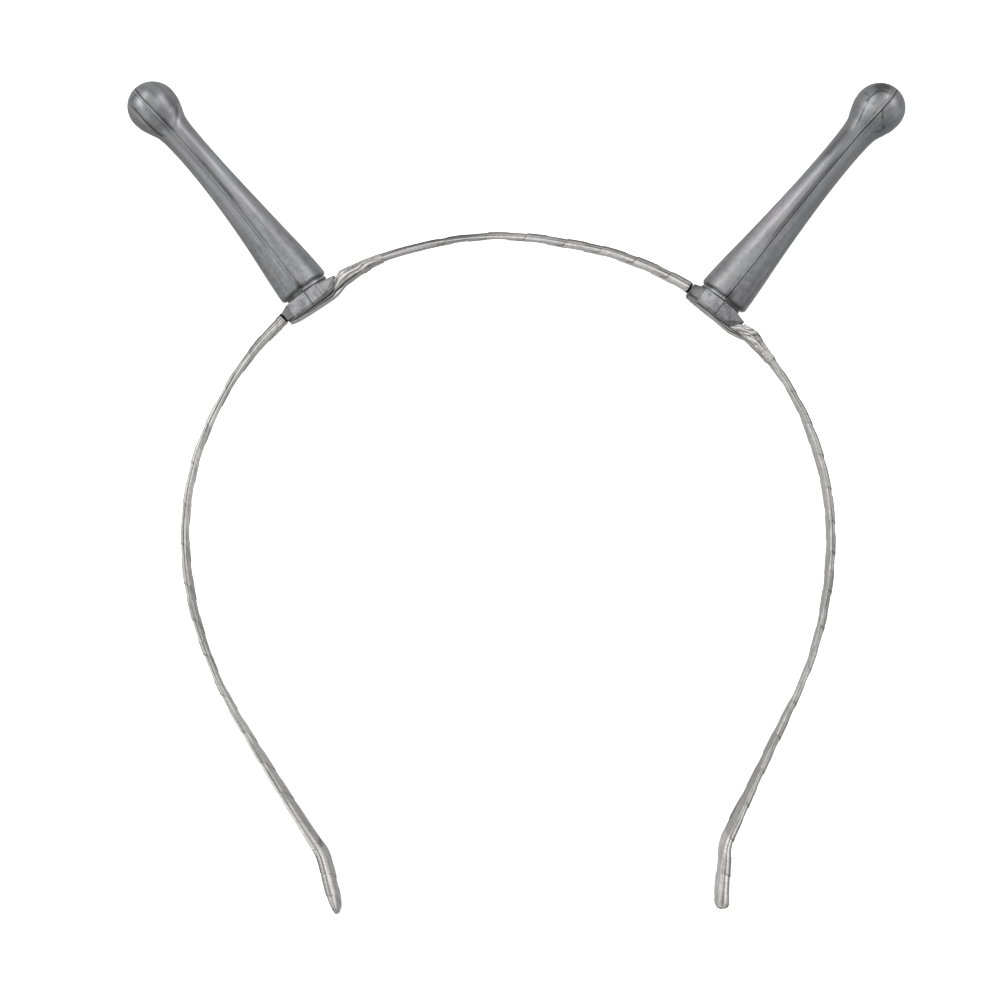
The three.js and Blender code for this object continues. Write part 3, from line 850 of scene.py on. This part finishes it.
def gather_sleeve(antenna, end, fade, sweep):
    """The bunched ribbon past a toe: folds that come up from the inner side and swing along the band."""
    start = antenna["station"] + antenna["ends"][1] - TOE_OVERLAP
    at = stations_between(start, end, FOLD_STEP)
    count = FOLDS_ROUND * FOLD_SAMPLES
    turn = np.arange(count) / count
    sample = np.stack([np.interp(turn, SECTION_AT, column, period=1) for column in SECTION.T], axis=-1)
    station = np.broadcast_to(at[:, None], (len(at), count))
    past_toe = station - start
    swung = sweep * (1 - np.exp(-past_toe / FOLD_REACH))
    uneven = turn + sum(size * np.sin(turn * rate + phase) for size, rate, phase in FOLD_SPREAD)
    phase = (uneven - swung) * FOLDS_ROUND + FOLD_SWAY["size"] * wave(station, turn, *FOLD_SWAY["rates"])
    crest = np.abs(np.sin(math.pi * phase))
    number = np.floor(phase) % FOLDS_ROUND
    own_depth = OWN_DEPTH["mean"] + OWN_DEPTH["vary"] * np.sin(number * OWN_DEPTH["rate"] + OWN_DEPTH["phase"])
    rest = PLAIN_THICKNESS / 2 - WINDING_INSET
    share = 0.5 + 0.5 * sample[:, OUT]
    run = station - antenna["station"]
    reach_out, reach_in = (value_at(BUNCHES[antenna["side"]], name, run) for name in ("out", "in"))
    body = np.maximum(reach_out * share + reach_in * (1 - share) - rest, BUNCH_LEAST)
    ease = smooth_step(np.clip((end - station) / fade, 0, 1))
    full = FOLD_DEPTH * own_depth * (FADED_DEPTH + (1 - FADED_DEPTH) * ease)
    depth = np.minimum(full, np.maximum(body - BUNCH_WALL, LEAST_FOLD))
    fold_and_painted_shade = np.minimum(depth / FOLD_CREASE["full_depth"], 1)
    crumple = math.prod(wave(station, turn, *rates) for rates in CRUMPLE_WAVES)
    dent = depth * (1 - crest**FOLD_POINT) + CRUMPLE * crumple * fold_and_painted_shade
    leaned = station + TOE_LEAN / TOE_HEIGHT * sample[:, OUT] * (rest + body) * np.exp(-past_toe / TOE_FADE)
    top = winding_place(leaned, sample, body - dent, 0, FOLD_FRONT - dent)
    bottom = winding_place(leaned, sample, BUNCH_BORE, 0, BUNCH_FRONT)
    # Painted shade in the fold valleys and on the outer side, lightened by a painted highlight by the toe.
    painted_crease_shade = FOLD_CREASE["shade"] * near(crest, 0, FOLD_CREASE["width"]) * fold_and_painted_shade
    outer = OUTER_SHADE["shade"] * ramped(sample[:, OUT], 0, OUTER_SHADE["over"]) * ramped(past_toe, 0, TOE_FADE)
    painted_toe_light = PAINTED_TOE_LIGHT["shade"] * np.exp(-past_toe / PAINTED_TOE_LIGHT["reach"]) * (1 - painted_crease_shade)
    own = rows_of(station, phase, 1)
    marks = doubled(
        ribbon=own * BUNCH_FLOATS,
        band=own * BUNCH_PLEATS,
        fold=painted_shading_mark(np.maximum(painted_crease_shade, outer) - painted_toe_light).ravel(),
    )
    return from_band(np.concatenate([top, bottom])), sheet_faces(len(at), count, wrap=True), marks


# The loose ribbon's layers, below and above the middle, and how the painted shade on it rises back from its front
# edge.
LOOSE_LAYERS = (-1, 1)
LOOSE_CLOTH = 0.1
LOOSE_ROW_COUNT = 90
LOOSE_COLUMN_COUNT = 25
LOOSE_RIPPLE = 0.07
RIPPLE_RATES = (0.9, 8)
RIPPLE_APART = 2
LOOSE_GRAIN = 70
LOOSE_SHADE = {"shade": 0.3, "over": 0.4}


def smooth_through(x, y, samples):
    """Values at the samples on a smooth curve through the rows, with no overshoot."""
    x, y = np.asarray(x, float), np.asarray(y, float)
    step = np.diff(x)
    slope = np.diff(y) / step
    tangent = np.zeros_like(y)
    for i in range(1, len(x) - 1):
        if slope[i - 1] * slope[i] > 0:
            a = 2 * step[i] + step[i - 1]
            b = step[i] + 2 * step[i - 1]
            tangent[i] = (a + b) / (a / slope[i - 1] + b / slope[i])
    tangent[0], tangent[-1] = slope[0], slope[-1]
    index = np.clip(np.searchsorted(x, samples, side="right") - 1, 0, len(x) - 2)
    t = (samples - x[index]) / step[index]
    h = step[index]
    return (
        y[index] * (1 + 2 * t) * (1 - t) ** 2
        + tangent[index] * h * t * (1 - t) ** 2
        + y[index + 1] * t * t * (3 - 2 * t)
        + tangent[index + 1] * h * t * t * (t - 1)
    )


def loose_ribbon(antenna):
    """Layers of ribbon that pass under a foot and open out towards the gather."""
    place = antenna_place(antenna)
    along, origins, levels, thick = zip(*LOOSE_ROWS[antenna["side"]])
    x, y, _ = band(antenna["station"] + np.array(along))
    band_height = moved(rows_of(x, y, 0), place.inverted())[:, 2]
    height = np.array(levels) + band_height * [origin == "band" for origin in origins]
    run = np.linspace(along[0], along[-1], LOOSE_ROW_COUNT)[:, None]
    middle = smooth_through(along, height, run)
    spread = smooth_through(along, thick, run) / 2 - LOOSE_CLOTH / 2
    slope = np.gradient(middle, run[:, 0], axis=0)
    across = np.linspace(0, 1, LOOSE_COLUMN_COUNT)
    front, back = LOOSE_EDGES[antenna["side"]]
    side = np.broadcast_to(front + across * (back - front), (len(run), len(across)))
    half = LOOSE_CLOTH / 2 / np.hypot(1, slope)
    shells = []
    for layer in LOOSE_LAYERS:
        ripple = wave(run, across, *RIPPLE_RATES, layer * RIPPLE_APART)
        centre = middle + layer * spread * (1 - 2 * LOOSE_RIPPLE + LOOSE_RIPPLE * ripple)
        local = np.concatenate([rows_of(run - up * half * slope, side, centre + up * half) for up in (1, -1)])
        ribbon = rows_of(run, side, LOOSE_GRAIN + layer)
        # Painted shade on the loose ribbon, away from its front edge.
        shade = LOOSE_SHADE["shade"] * ramped(side, front, LOOSE_SHADE["over"])
        marks = doubled(ribbon=ribbon, fold=painted_shading_mark(shade).ravel()) | {"band": local}
        shells.append((moved(local, place), sheet_faces(*side.shape), marks))
    return join_shells(shells)


def soft_piece(name, shell, node):
    """A piece of the ribbon, in place of a node."""
    piece = make_piece(name, *shell, SATIN, SHARP["ribbon"])
    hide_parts(node)
    return piece


LEFT, RIGHT = ANTENNAS
TOE_REACH = FOOT_CORNERS[-1][0] + TOE_GAP
STRETCHES = [
    {
        "name": "left", "node": "ribbon_left_leg", "lap_end": "start",
        "start": 0.0, "end": LEFT["station"] + LEFT["wound_to"], "tips": (True, False), "wound_from": -0.45,
    },
    {
        "name": "crown", "node": "ribbon_crown", "lap_end": "start",
        "start": LEFT["station"] + TOE_REACH, "end": RIGHT["station"] + RIGHT["wound_to"], "tips": (False, False),
        "wound_from": 151.0, "under": LEFT,
    },
    {
        "name": "right", "node": "ribbon_right_leg", "lap_end": "end",
        "start": RIGHT["station"] + TOE_REACH, "end": BAND_LENGTH, "tips": (False, True),
        "wound_from": 238.0, "under": RIGHT,
    },
]
WOUND_SPARE = 0.15

for stretch in STRETCHES:
    node = stretch["node"]
    wound_to = BAND_LENGTH + WOUND_SPARE if stretch["tips"][1] else stretch["end"]
    *shell, flat_length = wound_ribbon(stretch["name"], stretch["wound_from"], wound_to, stretch["lap_end"])
    wound = soft_piece(f"{node}_turns", shell, node)
    core = soft_piece(f"{node}_underlay", underlay(stretch["start"], stretch["end"], *stretch["tips"]), node)
    if "under" in stretch:
        sleeve = gather_sleeve(stretch["under"], **GATHERS[stretch["name"]])
        soft_piece(f"{node}_gather", sleeve, node)
        soft_piece(f"{node}_loose", loose_ribbon(stretch["under"]), node)


# Antenna mouldings: angles beside a seam, and the step between them over the open sides.
SEAM_ANGLES = (0, 0.6, 1.2, 1.8, 2.5, 3.3, 4.2, 5.2, 6.4, 7.8, 9.5, 11.5)
OPEN_STEP = 1.8


def half_angles():
    """Angles from the front seam round to the back seam, closest together at both seams."""
    open_count = round((180 - 2 * SEAM_ANGLES[-1]) / OPEN_STEP)
    middle = np.linspace(SEAM_ANGLES[-1], 180 - SEAM_ANGLES[-1], open_count + 1)[1:-1]
    beside = np.array(SEAM_ANGLES)
    return np.radians(np.concatenate([beside, middle, (180 - beside)[::-1]]))


# Neck of each half: plain, or with a ledge under the rim, as (height, radius).
NECK_FOOT = -NECK_HEIGHT - 0.02
NECK_PROFILES = {
    "plain": [(NECK_FOOT, NECK_RADIUS), (-0.7, NECK_RADIUS), (-0.3, NECK_RADIUS), (-0.06, NECK_RADIUS + 0.03)],
    "ledge": [
        (NECK_FOOT, NECK_RADIUS), (-0.86, NECK_RADIUS), (-0.84, 4.68), (-0.8, 4.76), (-0.46, 4.8), (-0.42, 4.7),
        (-0.4, NECK_RADIUS + 0.1), (-0.06, NECK_RADIUS + 0.1),
    ],
}
LEDGE_HALVES = ("left toe", "right slot")
HALF_SIGN = {"slot": -1, "toe": 1}
RIM_PROFILE = [(0.0, 4.5), (0.0, 4.84), (0.03, 4.92), (0.28, 5.12), (0.38, 5.19), (0.5, 5.22)]

# Rows up the stem, closer over the flare below the ball, and up the ball in degrees.
FLARE = BALL_CENTRE - 8
STEM_ROWS = np.concatenate([np.linspace(0.7, FLARE, 100), np.linspace(FLARE + 0.2, BALL_CENTRE - 1, 56)])
BALL_ROWS = np.radians(np.linspace(-12, 88.5, 84))

# Where the ball's own rows begin, how far the stem's curve runs on past the ball's middle, and where the two meet.
BALL_FROM = -0.9
OVER_MIDDLE = 1.2
BALL_BLEND = 0.5


def moulding_profile(neck):
    """Heights and radii from the neck's foot up over the ball."""
    height, radius = zip(*STEM_PROFILE)
    knots_height = [*height, BALL_CENTRE, BALL_CENTRE + OVER_MIDDLE]
    knots_radius = [*radius, BALL_RADIUS, math.sqrt(BALL_RADIUS**2 - OVER_MIDDLE**2)]
    stem_radius = smooth_through(knots_height, knots_radius, STEM_ROWS)
    round_ball = np.sqrt(np.maximum(BALL_RADIUS**2 - (STEM_ROWS - BALL_CENTRE) ** 2, 0))
    on_ball = STEM_ROWS > height[-1] - BALL_BLEND
    stem_radius = np.where(on_ball, np.minimum(np.maximum(stem_radius, round_ball), BALL_RADIUS), stem_radius)
    up = BALL_ROWS[BALL_RADIUS * np.sin(BALL_ROWS) > BALL_FROM]
    foot_height, foot_radius = zip(*NECK_PROFILES[neck], *RIM_PROFILE)
    heights = np.concatenate([foot_height, STEM_ROWS, BALL_CENTRE + BALL_RADIUS * np.sin(up)])
    return heights, np.concatenate([foot_radius, stem_radius, BALL_RADIUS * np.cos(up)])


# Relief and tone beside a seam, as (amount, distance from the seam, width). The slot half has a ridge there.
SEAM_RELIEF = {
    "slot": [(-0.09, 0, 0.14), (0.05, 0.3, 0.12), (-0.05, 0.58, 0.1)],
    "toe": [(-0.1, 0, 0.16)],
}
# On the ball the light tone along the slot half's ridge is a painted highlight.
SEAM_TONES = {
    "slot": {
        "stem": [(-0.5, 0, 0.13), (-0.4, 0.58, 0.1), (-0.45, 0.3, 0.35)],
        "ball": [(-0.85, 0, 0.13), (0.5, 0.3, 0.12), (-0.4, 0.58, 0.1)],
    },
    "toe": {"stem": [(-0.5, 0, 0.13), (-0.45, 0.3, 0.35)], "ball": [(-0.85, 0, 0.13)]},
}


def seam_profile(distance, rows):
    """The sum of a seam's rows at distances from it."""
    return sum(amount * near(distance, place, width) for amount, place, width in rows)


def turn_moulding(points, turn):
    """Turns a moulding on its own axis."""
    c, s = math.cos(math.radians(turn)), math.sin(math.radians(turn))
    x, y, z = points.T
    return rows_of(x * c - y * s, x * s + y * c, z)


def bend_stem(points, antenna):
    """Grows, slants and bends the stem, so that the sections stay round."""
    x, y, z = points.T
    reach = BALL_CENTRE / math.radians(antenna["bend"])
    arm = reach - x - math.tan(math.radians(antenna["lean"])) * z
    turn = (z + antenna["grow"] * ramped(z, 0, BALL_CENTRE - BALL_RADIUS)) / reach
    bent = rows_of(reach - arm * np.cos(turn), y, arm * np.sin(turn))
    return np.where(points[:, 2:] > 0, bent, points)


# Marks where the plastic flowed on the front of each ball and stem, as paths of (along the band, outward) from the
# ball's centre: the light rows are painted highlights and most dark rows with no depth are painted shade.
FLOW_COLUMNS = ("tone", "width", "depth", "path")
FLOW_MARKS_AND_PAINTED_LIGHT = {
    "left": [
        (-1.0, 0.2, 0.025, [
            (-3.2, 1.8), (-3.1, -0.2), (-2.9, -2.2), (-2.6, -3.7), (-2.3, -5.2), (-1.9, -6.2), (-1.2, -6.9),
        ]),
        (0.8, 0.2, -0.015, [(-3.55, 1.4), (-3.5, -0.2), (-3.3, -2.2), (-3.0, -3.7)]),
        (-0.5, 0.35, 0.015, [(-3.2, 2.6), (-2.0, 3.0), (-0.7, 3.2)]),
        (0.9, 0.3, -0.025, [(4.4, -3.0), (3.9, -4.4), (3.0, -5.6), (1.6, -7.0)]),
        (-0.6, 0.3, 0.015, [(4.1, -2.6), (3.5, -4.0), (2.5, -5.2), (1.2, -6.5)]),
        (-0.5, 0.3, 0, [(0.1, -3.5), (0.3, -5.5), (0.7, -7.0)]),
        (0.8, 0.75, 0, [(-1.7, 1.6), (-1.65, 0.9), (-1.5, -0.2)]),
        (0.7, 0.8, 0, [(1.5, 0.2), (1.8, -0.8), (1.7, -1.8)]),
        (-0.5, 0.8, 0, [(3.3, -0.2), (3.3, -1.8), (2.8, -3.4)]),
        (0.6, 0.9, 0, [(4.4, -32.6), (3.8, -22.8), (3.0, -13.7)]),
        (-0.8, 0.4, 0, [(2.55, -27.7), (2.0, -19.8), (1.4, -11.8)]),
    ],
    "right": [
        (-1.0, 0.2, 0.025, [
            (-0.1, 2.6), (-1.2, 2.3), (-2.0, 1.9), (-2.5, 1.2), (-2.8, 0.2), (-3.0, -0.9), (-2.6, -1.9),
        ]),
        (-0.9, 0.22, 0.025, [(-2.6, -1.9), (-2.4, -3.2), (-2.1, -4.2), (-1.8, -5.2), (-1.7, -6.4)]),
        (-1.0, 0.4, 0.02, [(-3.0, -0.9), (-2.85, -1.2)]),
        (-0.7, 0.16, 0.015, [(-3.0, -0.3), (-3.8, -0.1), (-4.6, 0.0)]),
        (-0.8, 0.2, 0.02, [(0.5, -0.9), (1.3, -1.9), (1.8, -2.6)]),
        (-0.5, 0.5, 0.015, [(2.7, -3.0), (2.9, -3.4)]),
        (-0.6, 0.28, 0.015, [(2.75, -2.8), (2.95, -3.4), (2.92, -3.95), (2.42, -4.6), (1.86, -5.2)]),
        (0.8, 0.7, 0, [(-1.75, -1.2), (-1.5, -2.8)]),
        (1.0, 1.0, 0, [(-4.4, -40.5), (-3.75, -36.5), (-3.3, -19.5)]),
        (-0.7, 0.5, 0, [(-1.75, -36.5), (-1.3, -24.0), (-0.75, -11.8)]),
        (-0.9, 0.9, 0, [(-2.8, -16.5), (-2.3, -10.5), (-2.0, -5.5)]),
        (-0.8, 1.1, 0, [(-3.6, 1.4), (-2.2, 3.2), (-0.3, 4.2)]),
        (0.8, 0.9, 0, [(3.2, 1.8), (3.4, 0.8), (3.4, -1.0)]),
    ],
}

# Lengths over which the marks taper, how strong their ends are, and the depth over which the front takes them on.
FLOW_TAPER = 1.6
WIDE_TAPER = 6.0
TAPERED_END = 0.25
FRONT_DEPTH = 0.8


def flow_marks_and_painted_light(points, antenna):
    """Tone and depth of the marks where the plastic flowed and of the painted light and shade, only on the side
    facing the front.
    """
    tone, depth = np.zeros(len(points)), np.zeros(len(points))
    centre = bend_stem(np.array([[0, 0, BALL_CENTRE]]), antenna)[0]
    flat = (points - centre)[:, [0, 2]]
    facing = ramped(-points[:, 1], 0, FRONT_DEPTH)
    for row in FLOW_MARKS_AND_PAINTED_LIGHT[antenna["side"]]:
        line = dict(zip(FLOW_COLUMNS, row))
        path = np.array(line["path"])
        steps = np.linalg.norm(np.diff(path, axis=0), axis=1)
        walked = np.concatenate([[0], np.cumsum(steps)])
        taper = min(WIDE_TAPER if line["depth"] == 0 else FLOW_TAPER, walked[-1] / 3)
        share = np.zeros(len(points))
        for a, b, before, step in zip(path, path[1:], walked, steps):
            t, distance = along_segment(flat, a, b)
            run = before + t * step
            ends = np.clip(np.minimum(run, walked[-1] - run) / taper + TAPERED_END, 0, 1)
            share = np.maximum(share, near(distance, 0, line["width"]) * ends)
        tone += line["tone"] * share * facing
        depth += line["depth"] * share * facing
    return tone, depth


# How blotchy the plastic is at the rim and how dark at the ball, and how far along the stem each reaches.
STEM_MOTTLE = {"amount": 0.6, "reach": 30.0}
BALL_TONE = {"tone": -0.26, "reach": 16.0}

# How plain the seam is along the stem and on the ball, the painted shade in the V where the halves meet at the rim,
# and below the rim a painted highlight on the ledge and painted shade on the neck.
SEAM_WEAR = {"stem": 0.6, "wave": 0.2, "ball": 0.3}
WEAR_WAVES = [(0.45, 1.0), (0.17, 0)]
WEAR_BALL = {"start": 40, "over": 4}
SEAM_FADE = {"start": 0.3, "over": 1.5}
SEAM_BALL = {"start": BALL_CENTRE - 6, "over": 4}
NOTCH_SHADE = {"tone": -0.9, "height": 0.2, "reach": 1.4, "width": 0.65}
LEDGE_RADIUS = 4.6
LEDGE_HIGHLIGHT = 0.5
NECK_SHADE = -0.8
BELOW_RIM = -0.02


def tone_attribute(tone):
    """The attribute for a tone from -1, the darkest, to 1."""
    return 0.5 + 0.5 * np.clip(tone, -1, 1)


def stem_shell(half, antenna):
    """Half of the neck, stem and ball as one closed shell, turned, grown and bent, with its marks."""
    sign = HALF_SIGN[half]
    angles = half_angles()
    heights, radii = moulding_profile("ledge" if f"{antenna['side']} {half}" in LEDGE_HALVES else "plain")
    z, plain = heights[:, None], radii[:, None]
    from_seam = np.minimum(angles, math.pi - angles) * plain
    fade = ramped(plain, **SEAM_FADE)
    radius = plain + seam_profile(from_seam, SEAM_RELIEF[half]) * fade
    x = sign * (SEAM_GAP / 2 + np.maximum(radius - SEAM_GAP / 2, 0) * np.sin(angles))
    own = rows_of(x, -radius * np.cos(angles), z)
    uneven = math.prod(np.sin(z * rate + phase) for rate, phase in WEAR_WAVES)
    worn = SEAM_WEAR["stem"] + SEAM_WEAR["wave"] * uneven + SEAM_WEAR["ball"] * ramped(z, **WEAR_BALL)
    on_ball = ramped(z, **SEAM_BALL)
    on_stem, over_ball = (seam_profile(from_seam, SEAM_TONES[half][part]) for part in ("stem", "ball"))
    seam = (on_stem * (1 - on_ball) + over_ball * on_ball) * fade * worn
    # Painted shade in the V where the two halves meet at the rim.
    notch_shade = NOTCH_SHADE["tone"] * near(z, NOTCH_SHADE["height"], NOTCH_SHADE["reach"]) * near(from_seam, 0, NOTCH_SHADE["width"])
    upper = ramped(z, BALL_CENTRE - BALL_TONE["reach"], BALL_TONE["reach"])
    # Below the rim: a painted highlight on the ledge and painted shade on the recessed neck.
    below = np.where(plain > LEDGE_RADIUS, LEDGE_HIGHLIGHT, NECK_SHADE)
    tone = np.where(z < BELOW_RIM, below, seam + notch_shade + BALL_TONE["tone"] * upper).ravel()
    seen = turn_moulding(own, antenna["turn"])
    flow, depth = flow_marks_and_painted_light(bend_stem(seen, antenna), antenna)
    away = seen - np.minimum(own, BALL_CENTRE) * (0, 0, 1)
    seen = seen - away * (depth / np.maximum(np.linalg.norm(away, axis=1), TINY))[:, None]
    rows, columns = x.shape
    hubs = np.array([(sign * SEAM_GAP / 2, 0, height) for height in (heights[0], BALL_CENTRE + BALL_RADIUS)])
    faces = [*grid_faces(rows, columns, True)]
    for number, row in enumerate((0, rows - 1)):
        faces += fan_faces(row * columns + np.arange(columns), len(own) + number)
    points = bend_stem(np.concatenate([seen, turn_moulding(hubs, antenna["turn"])]), antenna)
    moulding = np.concatenate([own, hubs])
    mottle = np.clip(STEM_MOTTLE["amount"] * (1 - moulding[:, 2] / STEM_MOTTLE["reach"]), 0, 1)
    return points, faces, {"moulding": moulding, "flow": tone_attribute(np.append(tone + flow, (0, 0))), "mottle": mottle}


def tunnel_object(antenna):
    """A bar round the steel strip, to cut the tunnel through a foot."""
    at = STRIP_AT[np.abs(STRIP_AT - antenna["station"]) < TUNNEL_REACH]
    points = moved(strip_bar(at, TUNNEL_CLEARANCE), antenna_place(antenna).inverted())
    index = np.arange(len(points)).reshape(len(at), -1)
    faces = [*grid_faces(*index.shape, True), index[0], index[-1, ::-1]]
    return add_object("tunnel", closed_mesh("tunnel", points, faces))


def foot_corners(antenna):
    """Corners of the foot; the middle ones are turned with the moulding and the end ones keep to the band."""
    ends = dict(zip((0, len(FOOT_CORNERS) - 1), antenna["ends"]))
    rise, inset = FOOT_SOLE_BEVEL["rise"], FOOT_SOLE_BEVEL["inset"]
    points = []
    for number, (along_top, along_sole, half, top, sole) in enumerate(FOOT_CORNERS):
        shift = ends[number] - along_top if number in ends else 0
        inward = along_sole - np.sign(along_sole) * inset
        for side in (1, -1):
            rows = np.array([
                (along_top + shift, side * half, top),
                (along_sole + shift, side * half, sole + rise),
                (inward + shift, side * (half - inset), sole),
            ])
            points.append(rows if number in ends else turn_moulding(rows, antenna["turn"]))
    return np.concatenate(points)


# Painted light and shade on the foot's facets past the slot's own, and the distances along the foot where they
# begin;
# the dark lines along its rounded ridges are painted shade.
FACET_STARTS = (-4.4, 0.0, 2.6)
FACET_SHADING = (0.9, 0.4, 0.2)
RIDGE_SHADE = -0.9
RIDGE_CORE = 1.2
RIDGE_WIDTH = 0.8 * FOOT_EDGE_ROUND
SEAM_LINE = {"tone": -0.9, "width": 0.08, "round": 0.1}
FLAT_ANGLE = math.radians(7)
ON_PLANE = 1e-5
BEVEL = {"profile": 0.5, "affect": "EDGES", "clamp_overlap": True}


def foot_mesh(antenna, plane, normal):
    """Half of the faceted foot with rounded edges, before the tunnel, and the edges that were rounded."""
    work = bmesh.new()
    for corner in foot_corners(antenna):
        work.verts.new(corner)
    bmesh.ops.convex_hull(work, input=work.verts)
    bmesh.ops.dissolve_limit(work, angle_limit=FLAT_ANGLE, verts=work.verts, edges=work.edges)
    ridges = [tuple(np.array(v.co) for v in e.verts) for e in work.edges]
    bmesh.ops.bevel(work, geom=list(work.edges), offset=FOOT_EDGE_ROUND, segments=4, **BEVEL)
    geometry = list(work.verts) + list(work.edges) + list(work.faces)
    bmesh.ops.bisect_plane(work, geom=geometry, plane_co=plane, plane_no=normal, clear_outer=True)
    bmesh.ops.holes_fill(work, edges=[e for e in work.edges if e.is_boundary])
    seam = [
        e for e in work.edges
        if all(abs((v.co - plane).dot(normal)) < ON_PLANE for v in e.verts) and not e.is_boundary
    ]
    bmesh.ops.bevel(work, geom=seam, offset=SEAM_LINE["round"], segments=2, **BEVEL)
    bmesh.ops.recalc_face_normals(work, faces=work.faces)
    mesh = bpy.data.meshes.new("foot")
    work.to_mesh(mesh)
    work.free()
    return mesh, ridges


def foot_shell(half, antenna):
    """Half of the foot with the tunnel through it, with its marks."""
    sign = HALF_SIGN[half]
    normal = Vector(turn_moulding(np.array([[-sign, 0.0, 0.0]]), antenna["turn"])[0])
    plane = -normal * SEAM_GAP / 2
    mesh, ridges = foot_mesh(antenna, plane, normal)
    foot = add_object("foot", mesh)
    cutter = tunnel_object(antenna)
    cut = foot.modifiers.new("tunnel", "BOOLEAN")
    cut.object = cutter
    cut.operation = "DIFFERENCE"
    cut.solver = "EXACT"
    whole = foot.evaluated_get(bpy.context.evaluated_depsgraph_get())
    result = whole.to_mesh()
    points = np.array([v.co for v in result.vertices])
    faces = [list(p.vertices) for p in result.polygons]
    whole.to_mesh_clear()
    bpy.data.objects.remove(foot)
    bpy.data.objects.remove(cutter)
    on_ridge = np.zeros(len(points))
    for a, b in ridges:
        _, distance = along_segment(points, a, b)
        on_ridge = np.maximum(on_ridge, np.clip(RIDGE_CORE - distance / RIDGE_WIDTH, 0, 1))
    on_seam = near((points - np.array(plane)) @ np.array(normal), 0, SEAM_LINE["width"])
    facet = np.searchsorted(FACET_STARTS, turn_moulding(points, -antenna["turn"])[:, 0])
    facet_shading = np.array([antenna["slot_painted_shade"], *FACET_SHADING])[facet]
    # Painted light and shade on the facets and painted shade along the rounded ridges, with the dark seam line.
    tone = facet_shading + RIDGE_SHADE * on_ridge + SEAM_LINE["tone"] * on_seam
    return points, faces, {"moulding": points, "flow": tone_attribute(tone), "mottle": np.ones(len(points))}


# The painted-shadow sheet in a slot stands back from the winding's end, the foot and the surface of the winding.
SHADOW_SHEET_BACK = {"winding": 0.02, "foot": 0.04, "thick": 0.1, "wide": 0.12}
SHADOW_SHEET_ROWS = 4


def slot_shadow_sheet(antenna):
    """A near-black sheet round the strip between the winding's end and the foot's slot: a painted shadow in the
    slot's mouth.
    """
    first = antenna["wound_to"] - SHADOW_SHEET_BACK["winding"]
    last = antenna["ends"][0] - SHADOW_SHEET_BACK["foot"]
    at = antenna["station"] + np.linspace(first, last, SHADOW_SHEET_ROWS)
    half_thick = value_at(WINDING, "thick", at.mean()) / 2 - SHADOW_SHEET_BACK["thick"]
    half_wide = RIBBON_HALF_WIDTH - SHADOW_SHEET_BACK["wide"]
    rings = np.concatenate([section_rings(at, half_thick, half_wide), strip_rings(at)])
    return rings.reshape(-1, 3), sheet_faces(len(at), len(SECTION), wrap=True)


# Shifts along the moulding that give each half its own grain.
GRAIN_SHIFT = {"left": 0, "right": 40, "slot": 0, "toe": 13}

for antenna in ANTENNAS:
    side = antenna["side"]
    for half in ("slot", "toe"):
        own, faces, marks = join_shells([stem_shell(half, antenna), foot_shell(half, antenna)])
        marks["moulding"] = marks["moulding"] + (0, 0, GRAIN_SHIFT[side] + GRAIN_SHIFT[half])
        node = f"{side}_antenna_{half}_half"
        points = moved(own, antenna_place(antenna))
        piece = make_piece(f"{node}_moulding", points, faces, marks, PEARL, SHARP["moulding"])
        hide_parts(node)
    shadow_sheet_piece = make_piece(f"{side}_foot_shadow_sheet", *slot_shadow_sheet(antenna), {}, SHADOW_SHEET, SHARP["shadow_sheet"])

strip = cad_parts["band_strip"]
strip.data.materials.clear()
strip.data.materials.append(STEEL)


# Floor, light and camera.
FLOOR_HALF = 3.0
FLOOR_LEVEL = -0.0002
floor_mesh = bpy.data.meshes.new("floor")
floor_corners = [(x * FLOOR_HALF, y * FLOOR_HALF, FLOOR_LEVEL) for x, y in ((-1, -1), (1, -1), (1, 1), (-1, 1))]
floor_mesh.from_pydata(floor_corners, [], [(0, 1, 2, 3)])
floor_mesh.materials.append(floor_material())
floor = add_object("floor", floor_mesh)
floor.visible_diffuse = False
floor.visible_glossy = False

# Square area lights that face the middle: name, place and size in metres, power in watts.
LIGHTS = [
    ("left", (-0.8, 0.35, 0.6), 0.45, 5.0),
    ("right", (0.8, 0.35, 0.6), 0.45, 3.6),
    ("upper_left", (-0.55, 0.72, 0.62), 0.35, 3.7),
    ("upper_right", (0.55, 0.72, 0.62), 0.35, 3.2),
    ("lower_left", (-0.75, -0.5, 0.6), 0.5, 2.1),
    ("front", (0.0, 0.1, 1.3), 0.9, 4.0),
]
for name, at, size, power in LIGHTS:
    data = bpy.data.lights.new(name, "AREA")
    data.shape = "SQUARE"
    data.size = size
    data.energy = power
    light = add_object(name, data)
    light.location = at
    light.rotation_mode = "QUATERNION"
    light.rotation_quaternion = (-Vector(at)).to_track_quat("-Z", "Y")

WORLD_STRENGTH = 0.45
world = bpy.data.worlds.new("studio")
world.use_nodes = True
background = world.node_tree.nodes["Background"]
background.inputs["Color"].default_value = (1, 1, 1, 1)
background.inputs["Strength"].default_value = WORLD_STRENGTH
bpy.context.scene.world = world
bpy.context.scene.view_settings.view_transform = "Standard"

# The camera looks square at the headband's plane: its distance and the width it takes in, in mm.
CAMERA_DISTANCE = 450
FRAME_WIDTH = 200
SENSOR = 36
camera_data = bpy.data.cameras.new("camera")
camera_data.sensor_width = SENSOR
camera_data.lens = SENSOR * CAMERA_DISTANCE / FRAME_WIDTH
camera_data.clip_start = 0.01
camera_data.clip_end = 20
camera = add_object("camera", camera_data)
camera.rotation_mode = "QUATERNION"
camera.location = REST @ Vector((0, 0, CAMERA_DISTANCE))
camera.rotation_quaternion = REST.to_quaternion()
bpy.context.scene.camera = camera
